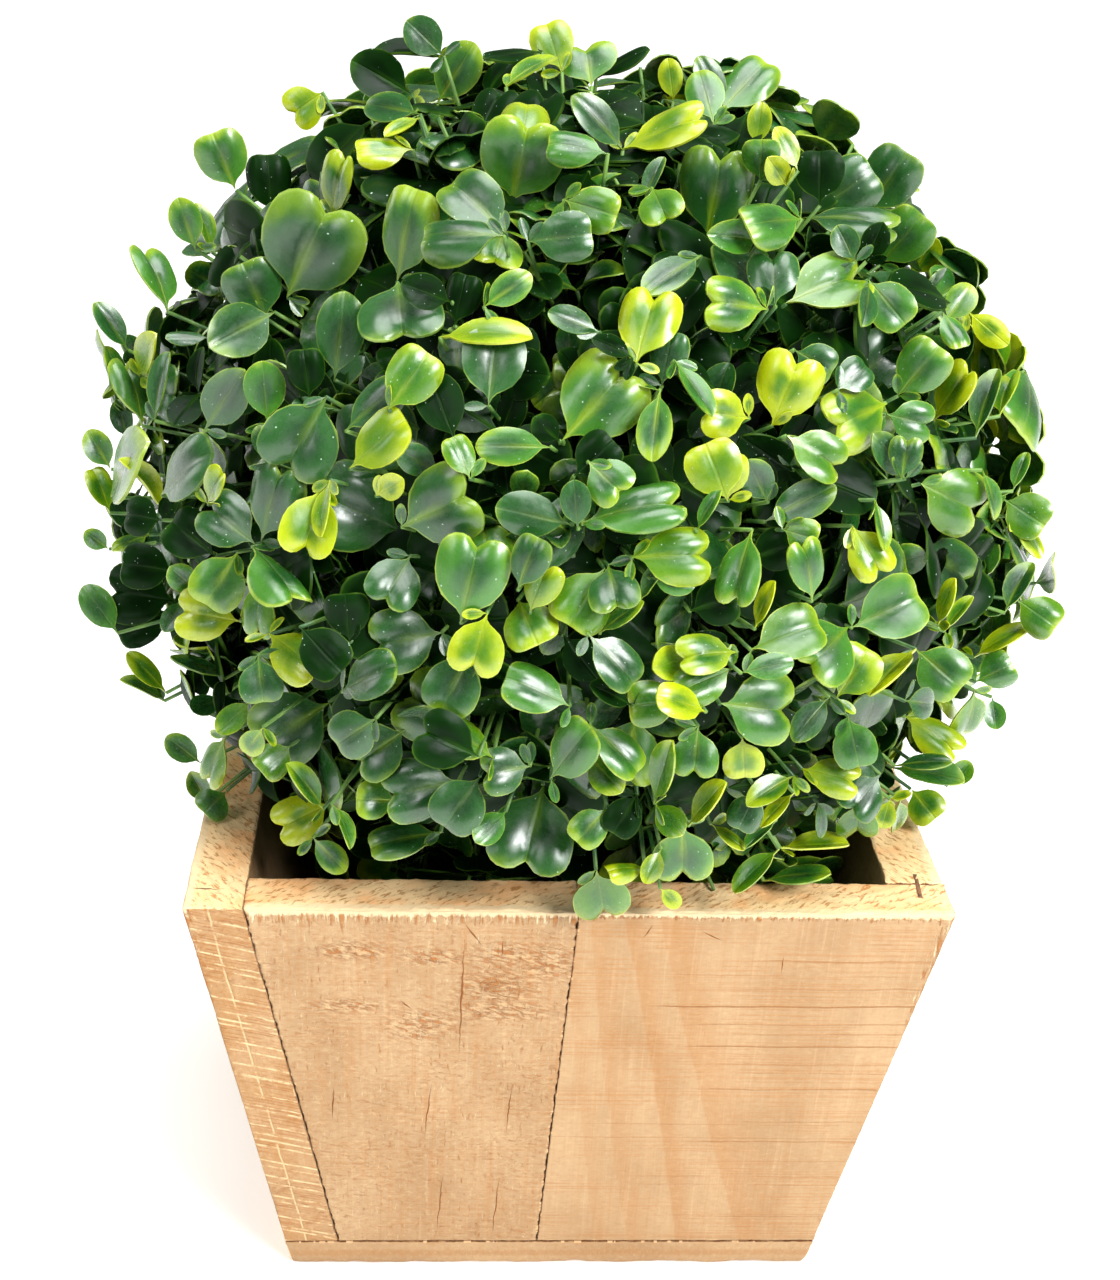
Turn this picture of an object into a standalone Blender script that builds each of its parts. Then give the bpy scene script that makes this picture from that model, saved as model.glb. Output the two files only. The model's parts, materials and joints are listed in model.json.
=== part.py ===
"""Artificial box topiary ball in a tapered wooden pot.

The pot has four leaning walls of two planks each, lapped round like a pinwheel, on a base board.
A filler block inside it carries a short stem, and the ball of moulded plastic foliage sits on that
stem, pressed into the mouth of the pot. Units are metres, +Z is up, and the origin is the middle of
the underside.
"""

import math
import random

import bmesh
import bpy
from mathutils import Matrix, Vector

GAP = 0.0003

# Pot
TOP_HALF = 0.073
BASE_HALF = 0.0555
HEIGHT = 0.1005
BOARD = 0.0112
BASE_BOARD = 0.007
SEAM_TOP_X = 0.001
SEAM_LOW_X = -0.0035
EDGE_WEAR = 0.0004
WALLS = ("front", "right", "back", "left")

# Filler block and stem inside the pot
FILLER_TOP = 0.044
STEM_RADIUS = 0.0045
STEM_SIDES = 12

# Foliage ball
BALL_CENTRE = Vector((0.0012, 0.0030, 0.1505))
BALL_RADIUS = 0.100
POT_CLEARANCE = 0.0012
RIM_LIFT = 0.55
CORE_SHARE = 0.84
CORE_LEVEL = 3
FOOT_Z = 0.0715
STEM_CLEAR_ANGLE = math.radians(24)
SEED = 20

SPRAYS = 122
SPRAY_JITTER = 0.050
SPRAY_LEAN = 0.18
TWIG_SUNK = 0.79
TWIG_REACH = (0.895, 0.965)
TWIG_RADII = (0.0013, 0.0008)
UPPER_LEAVES = ((0.0215, 0.0200), (0.0180, 0.0140))
LOWER_LEAF = (0.0185, 0.0155)
LOWER_LEAF_AT = 0.70
LEAF_RISE = (0.10, 0.60)
LEAF_RISE_TRIES = (0.0, -0.30, 0.35, -0.60, 0.70)
LEAF_THICKNESS = 0.0016
LEAF_SUNK = 0.0016
LEAF_ROOT_SPREAD = 0.0012
LEAF_CORNERS = 6
LEAF_CUP = 0.16

# Sprigs that stand out of the clipped ball: degrees round from +X, degrees up, share of the radius
STRAYS = (
    (-100, 64, 1.04),
    (-128, 66, 1.03),
    (-62, 55, 1.04),
    (-25, 44, 1.05),
    (-157, 40, 1.05),
    (175, 22, 1.06),
    (-4, -12, 1.07),
    (40, 35, 1.04),
    (95, 20, 1.04),
    (140, 50, 1.04),
)

MATERIALS = {
    "rough_pine": ((0.72, 0.45, 0.22, 1), 0.75),
    "foam": ((0.10, 0.07, 0.05, 1), 0.95),
    "stem_plastic": ((0.03, 0.09, 0.03, 1), 0.5),
    "leaf_plastic": ((0.04, 0.17, 0.04, 1), 0.35),
}


def clear_scene():
    for thing in list(bpy.data.objects):
        bpy.data.objects.remove(thing, do_unlink=True)


def new_collection(name):
    made = bpy.data.collections.new(name)
    bpy.context.scene.collection.children.link(made)
    return made


def material(name):
    found = bpy.data.materials.get(name)
    if found:
        return found
    colour, roughness = MATERIALS[name]
    made = bpy.data.materials.new(name)
    made.use_nodes = True
    shader = made.node_tree.nodes["Principled BSDF"]
    shader.inputs["Base Color"].default_value = colour
    shader.inputs["Roughness"].default_value = roughness
    shader.inputs["Metallic"].default_value = 0.0
    made.diffuse_color = colour
    return made


def object_from(bm, name, collection, slot=None):
    """A mesh object from the bmesh, which is freed."""
    mesh = bpy.data.meshes.new(name)
    bm.to_mesh(mesh)
    bm.free()
    made = bpy.data.objects.new(name, mesh)
    collection.objects.link(made)
    if slot:
        mesh.materials.append(material(slot))
    return made


def cut_block(planes):
    """A large cube with all of it outside each plane cut off; a plane is (point, outward normal)."""
    bm = bmesh.new()
    bmesh.ops.create_cube(bm, size=1.0)
    for point, normal in planes:
        everything = bm.verts[:] + bm.edges[:] + bm.faces[:]
        cut = bmesh.ops.bisect_plane(
            bm, geom=everything, plane_co=point, plane_no=normal, clear_outer=True
        )
        rim = [edge for edge in cut["geom_cut"] if isinstance(edge, bmesh.types.BMEdge)]
        bmesh.ops.holes_fill(bm, edges=rim)
    bmesh.ops.recalc_face_normals(bm, faces=bm.faces)
    return bm


# ---------------------------------------------------------------- pot


def wall_planes(turn):
    """Outer and inner plane of the wall that stands `turn` quarter turns round from the front."""
    lean = math.atan2(TOP_HALF - BASE_HALF, HEIGHT)
    spin = Matrix.Rotation(turn * math.pi / 2, 3, "Z")
    outward = spin @ Vector((0, -math.cos(lean), -math.sin(lean)))
    edge = spin @ Vector((0, -BASE_HALF, 0))
    return (edge, outward), (edge - outward * BOARD, outward)


def moved(plane, distance):
    point, normal = plane
    return point + normal * distance, normal


def flipped(plane):
    point, normal = plane
    return point, -normal


def level(z, up):
    return Vector((0, 0, z)), Vector((0, 0, 1 if up else -1))


def seam_plane(turn):
    """The upright joint between a wall's two planks, facing the right-hand plank."""
    spin = Matrix.Rotation(turn * math.pi / 2, 3, "Z")
    slope = (SEAM_TOP_X - SEAM_LOW_X) / HEIGHT
    across = Vector((1, 0, -slope)).normalized()
    return spin @ Vector((SEAM_LOW_X, 0, 0)), spin @ across


def plank(turn, right_hand):
    """One plank: it runs from the wall on its left to the outside of the wall on its right."""
    outer, inner = wall_planes(turn)
    left_inner = wall_planes(turn - 1)[1]
    right_outer = wall_planes(turn + 1)[0]
    seam = seam_plane(turn)
    planes = [outer, flipped(inner), level(HEIGHT, True), level(BASE_BOARD + GAP, False)]
    if right_hand:
        planes += [right_outer, moved(flipped(seam), -GAP / 2)]
    else:
        planes += [moved(seam, -GAP / 2), moved(left_inner, -GAP)]
    return planes


def worn_edges(thing):
    bevel = thing.modifiers.new("worn_edges", "BEVEL")
    bevel.width = EDGE_WEAR
    bevel.segments = 1
    bevel.limit_method = "ANGLE"


def make_pot(parts):
    for turn, wall in enumerate(WALLS):
        for right_hand, side in ((False, "left"), (True, "right")):
            planes = plank(turn, right_hand)
            made = object_from(cut_block(planes), f"{wall}_plank_{side}", parts, "rough_pine")
            worn_edges(made)
    planes = [wall_planes(turn)[0] for turn in range(4)]
    planes += [level(BASE_BOARD, True), level(0, False)]
    worn_edges(object_from(cut_block(planes), "base_board", parts, "rough_pine"))


def make_filler(parts):
    planes = [moved(wall_planes(turn)[1], -GAP) for turn in range(4)]
    planes += [level(FILLER_TOP, True), level(BASE_BOARD + GAP, False)]
    object_from(cut_block(planes), "filler_block", parts, "foam")


def make_stem(parts):
    low = FILLER_TOP + GAP
    high = FOOT_Z - GAP
    bm = bmesh.new()
    bmesh.ops.create_cone(
        bm,
        cap_ends=True,
        segments=STEM_SIDES,
        radius1=STEM_RADIUS,
        radius2=STEM_RADIUS,
        depth=high - low,
        matrix=Matrix.Translation((BALL_CENTRE.x, BALL_CENTRE.y, (low + high) / 2)),
    )
    stem = object_from(bm, "stem", parts, "stem_plastic")
    stem.data.shade_smooth()
    stem.data.set_sharp_from_angle(angle=math.radians(40))


# ---------------------------------------------------------------- foliage


def mouth_half(z):
    """Half the width inside the pot at this height."""
    outside = BASE_HALF + (TOP_HALF - BASE_HALF) * z / HEIGHT
    return outside - BOARD / math.cos(math.atan2(TOP_HALF - BASE_HALF, HEIGHT))


def is_free(point, clearance=POT_CLEARANCE):
    """True where foliage may be: inside the pot, or above the slope that its rim lifts leaves to."""
    across = max(abs(point.x), abs(point.y))
    if point.z <= HEIGHT and across < mouth_half(point.z) - clearance:
        return point.z > FILLER_TOP + clearance
    past_edge = across - (mouth_half(HEIGHT) - clearance)
    return point.z > HEIGHT + clearance + RIM_LIFT * max(past_edge, 0)


def reach(direction, radius=BALL_RADIUS, steps=12):
    """How far the ball goes this way: its radius, or less where the pot presses it in."""
    if is_free(BALL_CENTRE + direction * radius):
        return radius
    inside, outside = 0.0, radius
    for _ in range(steps):
        middle = (inside + outside) / 2
        if is_free(BALL_CENTRE + direction * middle):
            inside = middle
        else:
            outside = middle
    return inside


def even_directions(count, rng):
    """Directions spread evenly over the ball by the golden angle, each a little off its place."""
    golden = math.pi * (3 - math.sqrt(5))
    for i in range(count):
        z = 1 - (2 * i + 1) / count
        flat = math.sqrt(1 - z * z)
        spread = Vector((rng.gauss(0, 1), rng.gauss(0, 1), rng.gauss(0, 1))) * SPRAY_JITTER
        turn = golden * i
        yield (Vector((flat * math.cos(turn), flat * math.sin(turn), z)) + spread).normalized()


def stray_direction(turn, rise):
    turn, rise = math.radians(turn), math.radians(rise)
    flat = math.cos(rise)
    return Vector((flat * math.cos(turn), flat * math.sin(turn), math.sin(rise)))


def along(direction, outward):
    """Axes of a leaf whose X runs along the direction, with its top to the outside of the ball."""
    side = outward.cross(direction).normalized()
    up = direction.cross(side)
    return Matrix((direction, side, up)).transposed()


def core():
    bm = bmesh.new()
    bmesh.ops.create_icosphere(bm, subdivisions=CORE_LEVEL, radius=1.0)
    for vert in bm.verts:
        way = vert.co.normalized()
        vert.co = BALL_CENTRE + way * reach(way) * CORE_SHARE
    everything = bm.verts[:] + bm.edges[:] + bm.faces[:]
    foot = Vector((0, 0, FOOT_Z))
    cut = bmesh.ops.bisect_plane(
        bm, geom=everything, plane_co=foot, plane_no=Vector((0, 0, -1)), clear_outer=True
    )
    rim = [edge for edge in cut["geom_cut"] if isinstance(edge, bmesh.types.BMEdge)]
    bmesh.ops.holes_fill(bm, edges=rim)
    bmesh.ops.triangulate(bm, faces=bm.faces)
    bmesh.ops.recalc_face_normals(bm, faces=bm.faces)
    return bm


def twig(start, end):
    bm = bmesh.new()
    run = end - start
    turn = run.to_track_quat("Z", "Y").to_matrix().to_4x4()
    bmesh.ops.create_cone(
        bm,
        cap_ends=True,
        segments=3,
        radius1=TWIG_RADII[0],
        radius2=TWIG_RADII[1],
        depth=run.length,
        matrix=Matrix.Translation((start + end) / 2) @ turn,
    )
    return bm


def leaf(root, axes, length, width):
    """A round leaf with corners all round, thickest in its middle and cupped upwards."""
    bm = bmesh.new()
    bmesh.ops.create_uvsphere(bm, u_segments=LEAF_CORNERS, v_segments=2, radius=0.5)
    bmesh.ops.rotate(bm, verts=bm.verts, matrix=Matrix.Rotation(math.pi, 3, "Z"))
    for vert in bm.verts:
        lifted = vert.co.z * LEAF_THICKNESS + LEAF_CUP * width * (2 * vert.co.y) ** 2
        flat = Vector(((vert.co.x + 0.5) * length - LEAF_SUNK, vert.co.y * width, lifted))
        vert.co = root + axes @ flat
    return bm


def placed_leaf(root, sideways, out, size, rise, limit):
    """A leaf that spreads sideways, turned up or down until it keeps its space, or None."""
    for change in LEAF_RISE_TRIES:
        lift = rise + change
        way = (sideways * math.cos(lift) + out * math.sin(lift)).normalized()
        bm = leaf(root, along(way, out), *size)
        if keeps_its_space(bm, limit):
            return bm
        bm.free()
    return None


def spray(direction, distance, limit, rng):
    """The meshes of one sprig: a twig out of the core, a pair of leaves at its end and one lower."""
    lean = Vector((rng.gauss(0, 1), rng.gauss(0, 1), rng.gauss(0, 1))) * SPRAY_LEAN
    start = BALL_CENTRE + direction * reach(direction) * TWIG_SUNK
    end = BALL_CENTRE + direction * distance
    end += (lean - direction * lean.dot(direction)) * (end - start).length
    out = (end - start).normalized()
    across = out.orthogonal().normalized()
    across.rotate(Matrix.Rotation(rng.uniform(0, math.tau), 3, out))
    stick = twig(start, end)
    if not keeps_its_space(stick, limit):
        stick.free()
        return []
    lower = start.lerp(end, LOWER_LEAF_AT)
    wanted = [
        (end, across, UPPER_LEAVES[0]),
        (end, -across, UPPER_LEAVES[1]),
        (lower, out.cross(across), LOWER_LEAF),
    ]
    leaves = []
    for root, sideways, (length, width) in wanted:
        root = root - out * rng.uniform(0, LEAF_ROOT_SPREAD)
        scale = rng.uniform(0.88, 1.08)
        size = (length * scale, width * scale)
        leaves.append(placed_leaf(root, sideways, out, size, rng.uniform(*LEAF_RISE), limit))
    return [stick] + [bm for bm in leaves if bm]


def keeps_its_space(bm, limit):
    for vert in bm.verts:
        offset = vert.co - BALL_CENTRE
        if offset.length > limit or not is_free(vert.co):
            return False
        down = offset.angle(Vector((0, 0, -1)))
        if down < STEM_CLEAR_ANGLE:
            return False
    return True


def one_body(thing):
    """Drops loose scraps and fills sealed hollows, which are both shells apart from the main one."""
    bm = bmesh.new()
    bm.from_mesh(thing.data)
    left = set(bm.verts)
    shells = []
    while left:
        shell = {left.pop()}
        edge_of_shell = list(shell)
        while edge_of_shell:
            vert = edge_of_shell.pop()
            for edge in vert.link_edges:
                other = edge.other_vert(vert)
                if other in left:
                    left.remove(other)
                    shell.add(other)
                    edge_of_shell.append(other)
        shells.append(shell)
    shells.sort(key=len)
    scraps = [vert for shell in shells[:-1] for vert in shell]
    bmesh.ops.delete(bm, geom=scraps, context="VERTS")
    bm.to_mesh(thing.data)
    bm.free()


def make_foliage(parts):
    rng = random.Random(SEED)
    pieces = new_collection("foliage_pieces")
    ways = [(way, 1.0) for way in even_directions(SPRAYS, rng)]
    ways += [(stray_direction(turn, rise), share) for turn, rise, share in STRAYS]
    for way, share in ways:
        limit = BALL_RADIUS * share
        distance = reach(way) * share * rng.uniform(*TWIG_REACH)
        for bm in spray(way, distance, limit, rng):
            object_from(bm, "foliage_piece", pieces)
    ball = object_from(core(), "foliage_ball", parts, "leaf_plastic")
    join = ball.modifiers.new("join_sprays", "BOOLEAN")
    join.operation = "UNION"
    join.operand_type = "COLLECTION"
    join.collection = pieces
    graph = bpy.context.evaluated_depsgraph_get()
    joined = bpy.data.meshes.new_from_object(ball.evaluated_get(graph))
    ball.modifiers.remove(join)
    ball.data = joined
    ball.data.name = "foliage_ball"
    for thing in list(pieces.objects):
        bpy.data.objects.remove(thing, do_unlink=True)
    bpy.data.collections.remove(pieces)
    one_body(ball)


def main():
    clear_scene()
    parts = new_collection("box_topiary_ball")
    make_pot(parts)
    make_filler(parts)
    make_stem(parts)
    make_foliage(parts)


main()
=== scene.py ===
"""Looks of an artificial box topiary ball in its wooden pot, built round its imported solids.

Units are metres, +Z is up, and the pot's front wall faces -Y. Each operator makes one group of
pieces, and main() calls them in order.
"""

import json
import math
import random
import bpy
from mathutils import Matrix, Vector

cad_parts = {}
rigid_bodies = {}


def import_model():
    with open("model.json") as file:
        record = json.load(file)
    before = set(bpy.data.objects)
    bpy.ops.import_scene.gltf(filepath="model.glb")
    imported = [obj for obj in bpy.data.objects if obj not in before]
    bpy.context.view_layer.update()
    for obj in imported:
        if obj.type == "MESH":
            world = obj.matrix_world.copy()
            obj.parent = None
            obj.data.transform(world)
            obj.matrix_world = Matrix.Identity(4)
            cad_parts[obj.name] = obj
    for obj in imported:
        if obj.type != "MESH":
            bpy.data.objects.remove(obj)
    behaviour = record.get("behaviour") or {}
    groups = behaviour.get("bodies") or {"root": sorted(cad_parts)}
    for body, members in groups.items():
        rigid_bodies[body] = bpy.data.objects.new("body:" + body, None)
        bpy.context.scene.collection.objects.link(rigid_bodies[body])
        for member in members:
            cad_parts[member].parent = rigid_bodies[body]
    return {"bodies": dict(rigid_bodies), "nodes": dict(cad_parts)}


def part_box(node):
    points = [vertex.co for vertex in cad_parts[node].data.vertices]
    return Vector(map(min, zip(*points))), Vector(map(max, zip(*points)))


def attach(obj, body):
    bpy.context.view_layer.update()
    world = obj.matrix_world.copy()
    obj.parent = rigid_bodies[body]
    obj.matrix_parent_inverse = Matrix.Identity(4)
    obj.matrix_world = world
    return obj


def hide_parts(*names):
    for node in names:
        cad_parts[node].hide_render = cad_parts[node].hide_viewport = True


bl_info = {
    "name": "Box topiary ball",
    "version": (1, 0, 0),
    "blender": (4, 5, 0),
    "location": "3D View > Sidebar > Topiary",
    "description": "Makes the boards, foliage and stage of an artificial box topiary ball",
    "category": "Object",
}

import bmesh
import bpy
import numpy as np
from mathutils import Matrix, Vector, noise

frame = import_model()
BODY = next(iter(frame["bodies"]))


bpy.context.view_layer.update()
MM = 0.001

# Pot, as its solids stand
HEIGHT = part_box("front_plank_left")[1][2]
BASE_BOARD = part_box("base_board")[1][2]
FILLER_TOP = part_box("filler_block")[1][2]
TOP_HALF = 0.073
BASE_HALF = 0.0555
BOARD = 0.0112
SEAM_TOP_X = 0.001
SEAM_LOW_X = -0.0035
GAP = 0.0003
WALLS = ("front", "right", "back", "left")

# Foliage: the rule of the solid ball, carried to finer sprigs
BALL_CENTRE = Vector((0.0012, 0.0030, 0.1505))
BALL_RADIUS = 0.100
POT_CLEARANCE = 0.0012
RIM_LIFT = 0.55
STEM_CLEAR_ANGLE = math.radians(20)
# Sprigs that stand out of the ball: turn about the upright, rise, both in degrees, and how far out
STRAYS = (
    (-100, 64, 1.04),
    (-128, 66, 1.03),
    (-62, 55, 1.04),
    (-25, 44, 1.05),
    (-157, 40, 1.05),
    (175, 22, 1.06),
    (-4, -12, 1.07),
    (40, 35, 1.04),
    (95, 20, 1.04),
    (140, 50, 1.04),
)
LEAF_MAP = "OFBake"
MAP_TILES = 8
TILE_FILL = 0.44


def linear(hex_colour, alpha=1.0):
    """An sRGB hex colour as linear RGBA."""
    channels = [int(hex_colour[i : i + 2], 16) / 255 for i in (1, 3, 5)]
    return (*[c / 12.92 if c <= 0.04045 else ((c + 0.055) / 1.055) ** 2.4 for c in channels], alpha)


def smoothstep(low, high, value):
    """The value's way from low to high, smoothed."""
    t = min(max((value - low) / (high - low), 0.0), 1.0)
    return t * t * (3 - 2 * t)


# ---------------- settings


class PotSettings(bpy.types.PropertyGroup):
    """Finish of the wooden pot."""

    edge_wear: bpy.props.FloatProperty(
        name="Edge wear",
        description="How far the boards' edges are worn round",
        default=0.55 * MM, min=0.1 * MM, max=2 * MM, unit="LENGTH",
    )
    cell: bpy.props.FloatProperty(
        name="Cell",
        description="Size of the boards' mesh cells",
        default=0.95 * MM, min=0.4 * MM, max=5 * MM, unit="LENGTH",
    )
    wood: bpy.props.FloatVectorProperty(
        name="Wood",
        description="Colour of the sawn pine",
        subtype="COLOR", size=4, default=linear("#AB8963"), min=0, max=1,
    )
    latewood: bpy.props.FloatVectorProperty(
        name="Latewood",
        description="Colour of the darker growth rings",
        subtype="COLOR", size=4, default=linear("#AE7D4C"), min=0, max=1,
    )


class FoliageSettings(bpy.types.PropertyGroup):
    """Sprigs of the ball."""

    sprigs: bpy.props.IntProperty(
        name="Sprigs",
        description="How many sprigs stand out of the ball",
        default=470, min=50, max=900,
    )
    inner_sprigs: bpy.props.IntProperty(
        name="Inner sprigs",
        description="How many short sprigs fill the ball behind the outer ones",
        default=420, min=0, max=900,
    )
    heart_length: bpy.props.FloatProperty(
        name="Heart leaf",
        description="Length of the two-lobed leaf at a sprig's end",
        default=16.5 * MM, unit="LENGTH",
    )
    spoon_length: bpy.props.FloatProperty(
        name="Spoon leaf",
        description="Length of the round leaf at a sprig's end",
        default=14.5 * MM, unit="LENGTH",
    )
    leaf_thickness: bpy.props.FloatProperty(
        name="Leaf thickness",
        description="Thickness of the moulded leaves",
        default=0.45 * MM, unit="LENGTH",
    )
    seed: bpy.props.IntProperty(
        name="Seed", description="Another seed gives another ball", default=20
    )


class StageSettings(bpy.types.PropertyGroup):
    """Floor, lights and camera."""

    floor: bpy.props.FloatVectorProperty(
        name="Floor",
        description="Colour of the floor",
        subtype="COLOR", size=4, default=linear("#F7F7F6"), min=0, max=1,
    )
    key_power: bpy.props.FloatProperty(
        name="Key light", description="Power of the main light", default=16.0, min=0, unit="POWER"
    )
    focal_length: bpy.props.FloatProperty(
        name="Focal length",
        description="Focal length of the camera, in millimetres",
        default=56.25, min=10, subtype="DISTANCE_CAMERA",
    )


# ---------------- nodes


class Shader:
    """A material's node tree, built node by node."""

    def __init__(self, name):
        self.material = bpy.data.materials.new(name)
        self.material.use_nodes = True
        self.tree = self.material.node_tree
        self.principled = self.tree.nodes["Principled BSDF"]

    def add(self, kind, out=0, inputs=(), **settings):
        """Adds a node with its settings; an input is a value or another node's output."""
        node = self.tree.nodes.new(kind)
        for key, value in settings.items():
            setattr(node, key, value)
        for key, value in dict(inputs).items():
            if isinstance(value, bpy.types.NodeSocket):
                self.tree.links.new(value, node.inputs[key])
            else:
                node.inputs[key].default_value = value
        return node.outputs[out]

    def finish(self, **inputs):
        """Sets or links the principled shader's sockets."""
        for key, value in inputs.items():
            socket = self.principled.inputs[key.replace("_", " ")]
            if isinstance(value, bpy.types.NodeSocket):
                self.tree.links.new(value, socket)
            else:
                socket.default_value = value
        return self.material

    def ramp(self, value, low, high, start=0.0, end=1.0):
        """The value's way from low to high, smoothed, as start to end."""
        return self.add(
            "ShaderNodeMapRange",
            interpolation_type="SMOOTHSTEP",
            inputs={"Value": value, 1: low, 2: high, 3: start, 4: end},
        )

    def blend(self, share, first, second):
        """Two colours mixed by the share."""
        return self.add(
            "ShaderNodeMix", out=2, data_type="RGBA", inputs={0: share, 6: first, 7: second}
        )

    def tint(self, colour, share, hex_colour):
        """The colour with a share of another laid over it."""
        return self.blend(share, colour, linear(hex_colour))

    def maths(self, operation, first, second=0.0, third=0.0):
        inputs = {0: first, 1: second, 2: third}
        return self.add("ShaderNodeMath", operation=operation, inputs=inputs)

    def plus(self, first, second):
        return self.maths("ADD", first, second)

    def less(self, first, second):
        return self.maths("SUBTRACT", first, second)

    def times(self, first, second):
        return self.maths("MULTIPLY", first, second)

    def times_plus(self, first, second, third):
        """The first two multiplied, and the third added."""
        return self.maths("MULTIPLY_ADD", first, second, third)

    def larger(self, first, second):
        return self.maths("MAXIMUM", first, second)

    def size(self, value):
        return self.maths("ABSOLUTE", value)

    def vectors(self, operation, first, second=(0.0, 0.0, 0.0), out="Vector"):
        inputs = {0: first, "Scale" if operation == "SCALE" else 1: second}
        return self.add("ShaderNodeVectorMath", out=out, operation=operation, inputs=inputs)

    def noise(self, place, per_mm, detail=3.0, roughness=0.55, distortion=0.0):
        """Noise whose frequency along each axis is given in waves per millimetre."""
        return self.add(
            "ShaderNodeTexNoise",
            inputs={
                "Vector": self.vectors("MULTIPLY", place, [value / MM for value in per_mm]),
                "Scale": 1.0,
                "Detail": detail,
                "Roughness": roughness,
                "Distortion": distortion,
            },
        )

    def bumped(self, height, depth, strength):
        """A normal from a height that runs from 0 to 1 over the depth in metres."""
        return self.add(
            "ShaderNodeBump", inputs={"Height": height, "Distance": depth, "Strength": strength}
        )


# ---------------- wood


PLACE = "board_place"
JOINT = "joint_distance"
WORN = "worn_edge"


def place_axes(shader):
    """The board's own coordinates, and each of them: across, along and out of its face, in metres."""
    place = shader.add("ShaderNodeAttribute", out="Vector", attribute_name=PLACE)
    axes = [shader.add("ShaderNodeSeparateXYZ", out=axis, inputs={0: place}) for axis in range(3)]
    return place, axes


def saw_lines(shader, along, across, wobble, pitch, width, tilt=0.0):
    """Lines across the board at uneven steps of about the pitch, one where the saw bit deeper."""
    way = shader.times_plus(across, tilt, along)
    way = shader.times_plus(wobble, 0.6 * MM, way)
    gap = shader.add(
        "ShaderNodeTexVoronoi",
        out="Distance",
        voronoi_dimensions="1D",
        inputs={"W": way, "Scale": 1 / pitch},
    )
    return shader.ramp(gap, 0.0, width / pitch, 1.0, 0.0)


def bruised_joints(shader, place, colour):
    """Edges beside a joint are brown and ragged, with a pale splinter across here and there."""
    beside = shader.add("ShaderNodeAttribute", out="Fac", attribute_name=JOINT)
    ragged = shader.noise(place, (0.9, 0.35, 0.9), detail=4.0, roughness=0.7)
    beside = shader.times_plus(ragged, -0.9 * MM, beside)
    dark = shader.ramp(beside, -0.54 * MM, -0.26 * MM, 0.92, 0.0)
    colour = shader.tint(colour, dark, "#5E3212")
    splinters = shader.noise(place, (0.10, 0.55, 0.10), detail=2.0)
    near = shader.ramp(beside, -0.45 * MM, 0.05 * MM, 1.0, 0.0)
    pale = shader.times(shader.ramp(splinters, 0.58, 0.62), near)
    return shader.tint(colour, pale, "#E0B98A")


def frayed_edges(shader, place, colour, combed=0.0):
    """The worn upper edge is pale and furry; below it, torn fibres hang in a comb of orange strokes,
    the dark ones partly painted shadow under the frayed edge.
    """
    worn_share = shader.add("ShaderNodeAttribute", out="Fac", attribute_name=WORN)
    fray = shader.noise(place, (1.3, 0.35, 0.9), detail=4.0, roughness=0.7)
    ragged = shader.times_plus(fray, 0.9, shader.less(worn_share, 0.45))
    low, high = (0.74, 0.88) if combed else (0.45, 0.80)
    edge = shader.ramp(ragged, low, high)
    colour = shader.tint(colour, shader.times(edge, 0.70), "#F6DCB0")
    if not combed:
        return colour, edge
    teeth = shader.noise(place, (1.15, 0.14, 1.0), detail=3.0, roughness=0.6, distortion=0.3)
    ends = shader.times_plus(fray, 1.2, shader.less(ragged, 0.60))
    zone = shader.ramp(ends, 0.60 - 0.66 * combed, 0.86 - 0.42 * combed)
    zone = shader.times(zone, shader.ramp(worn_share, 0.88, 1.0, 1.0, 0.0))
    # Dark strokes: torn fibres, and partly painted shadow under the frayed edge.
    dark = shader.times(shader.ramp(teeth, 0.50, 0.62), zone)
    colour = shader.tint(colour, shader.times(dark, 0.72), "#B4691F")
    pale = shader.times(shader.ramp(teeth, 0.46, 0.36), zone)
    colour = shader.tint(colour, shader.times(pale, 0.75), "#F6DCB0")
    return colour, shader.less(shader.larger(edge, pale), dark)


# How strongly each way of sawing shows: rings, fibres, fine and coarse saw lines, torn patches, and the
# comb of fibres under the upper edge, its dark strokes partly painted shadow, each from 0 to 1
SAWN = {
    "pine_torn_sawn": (0.12, 0.64, 0.28, 0.10, 0.85, 0.85),
    "pine_band_sawn": (0.55, 0.30, 0.40, 0.35, 0.25, 0.30),
    "pine_scored_edge": (0.10, 0.30, 0.62, 0.40, 0.80, 0.60),
    "pine_planed": (0.45, 0.50, 0.00, 0.00, 0.12, 0.00),
}
# How far out of its face the pattern of a right-hand plank starts
OUT_OFFSET = 0.27
# The lengthwise score line on a wall's edge lies 3.9 mm in from the wall's outside.
SCORE_IN = 3.9 * MM - OUT_OFFSET
# Marks on the boards are listed by board, and placed by shares of the way across it and up it.
# Knots: where, and the half-width in mm
KNOTS = {
    "front_plank_left": ((0.746, 0.798, 3.0),),
    "right_plank_right": ((0.35, 0.40, 4.0),),
    "back_plank_left": ((0.55, 0.62, 3.6),),
    "left_plank_left": ((0.30, 0.25, 3.0),),
}
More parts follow.
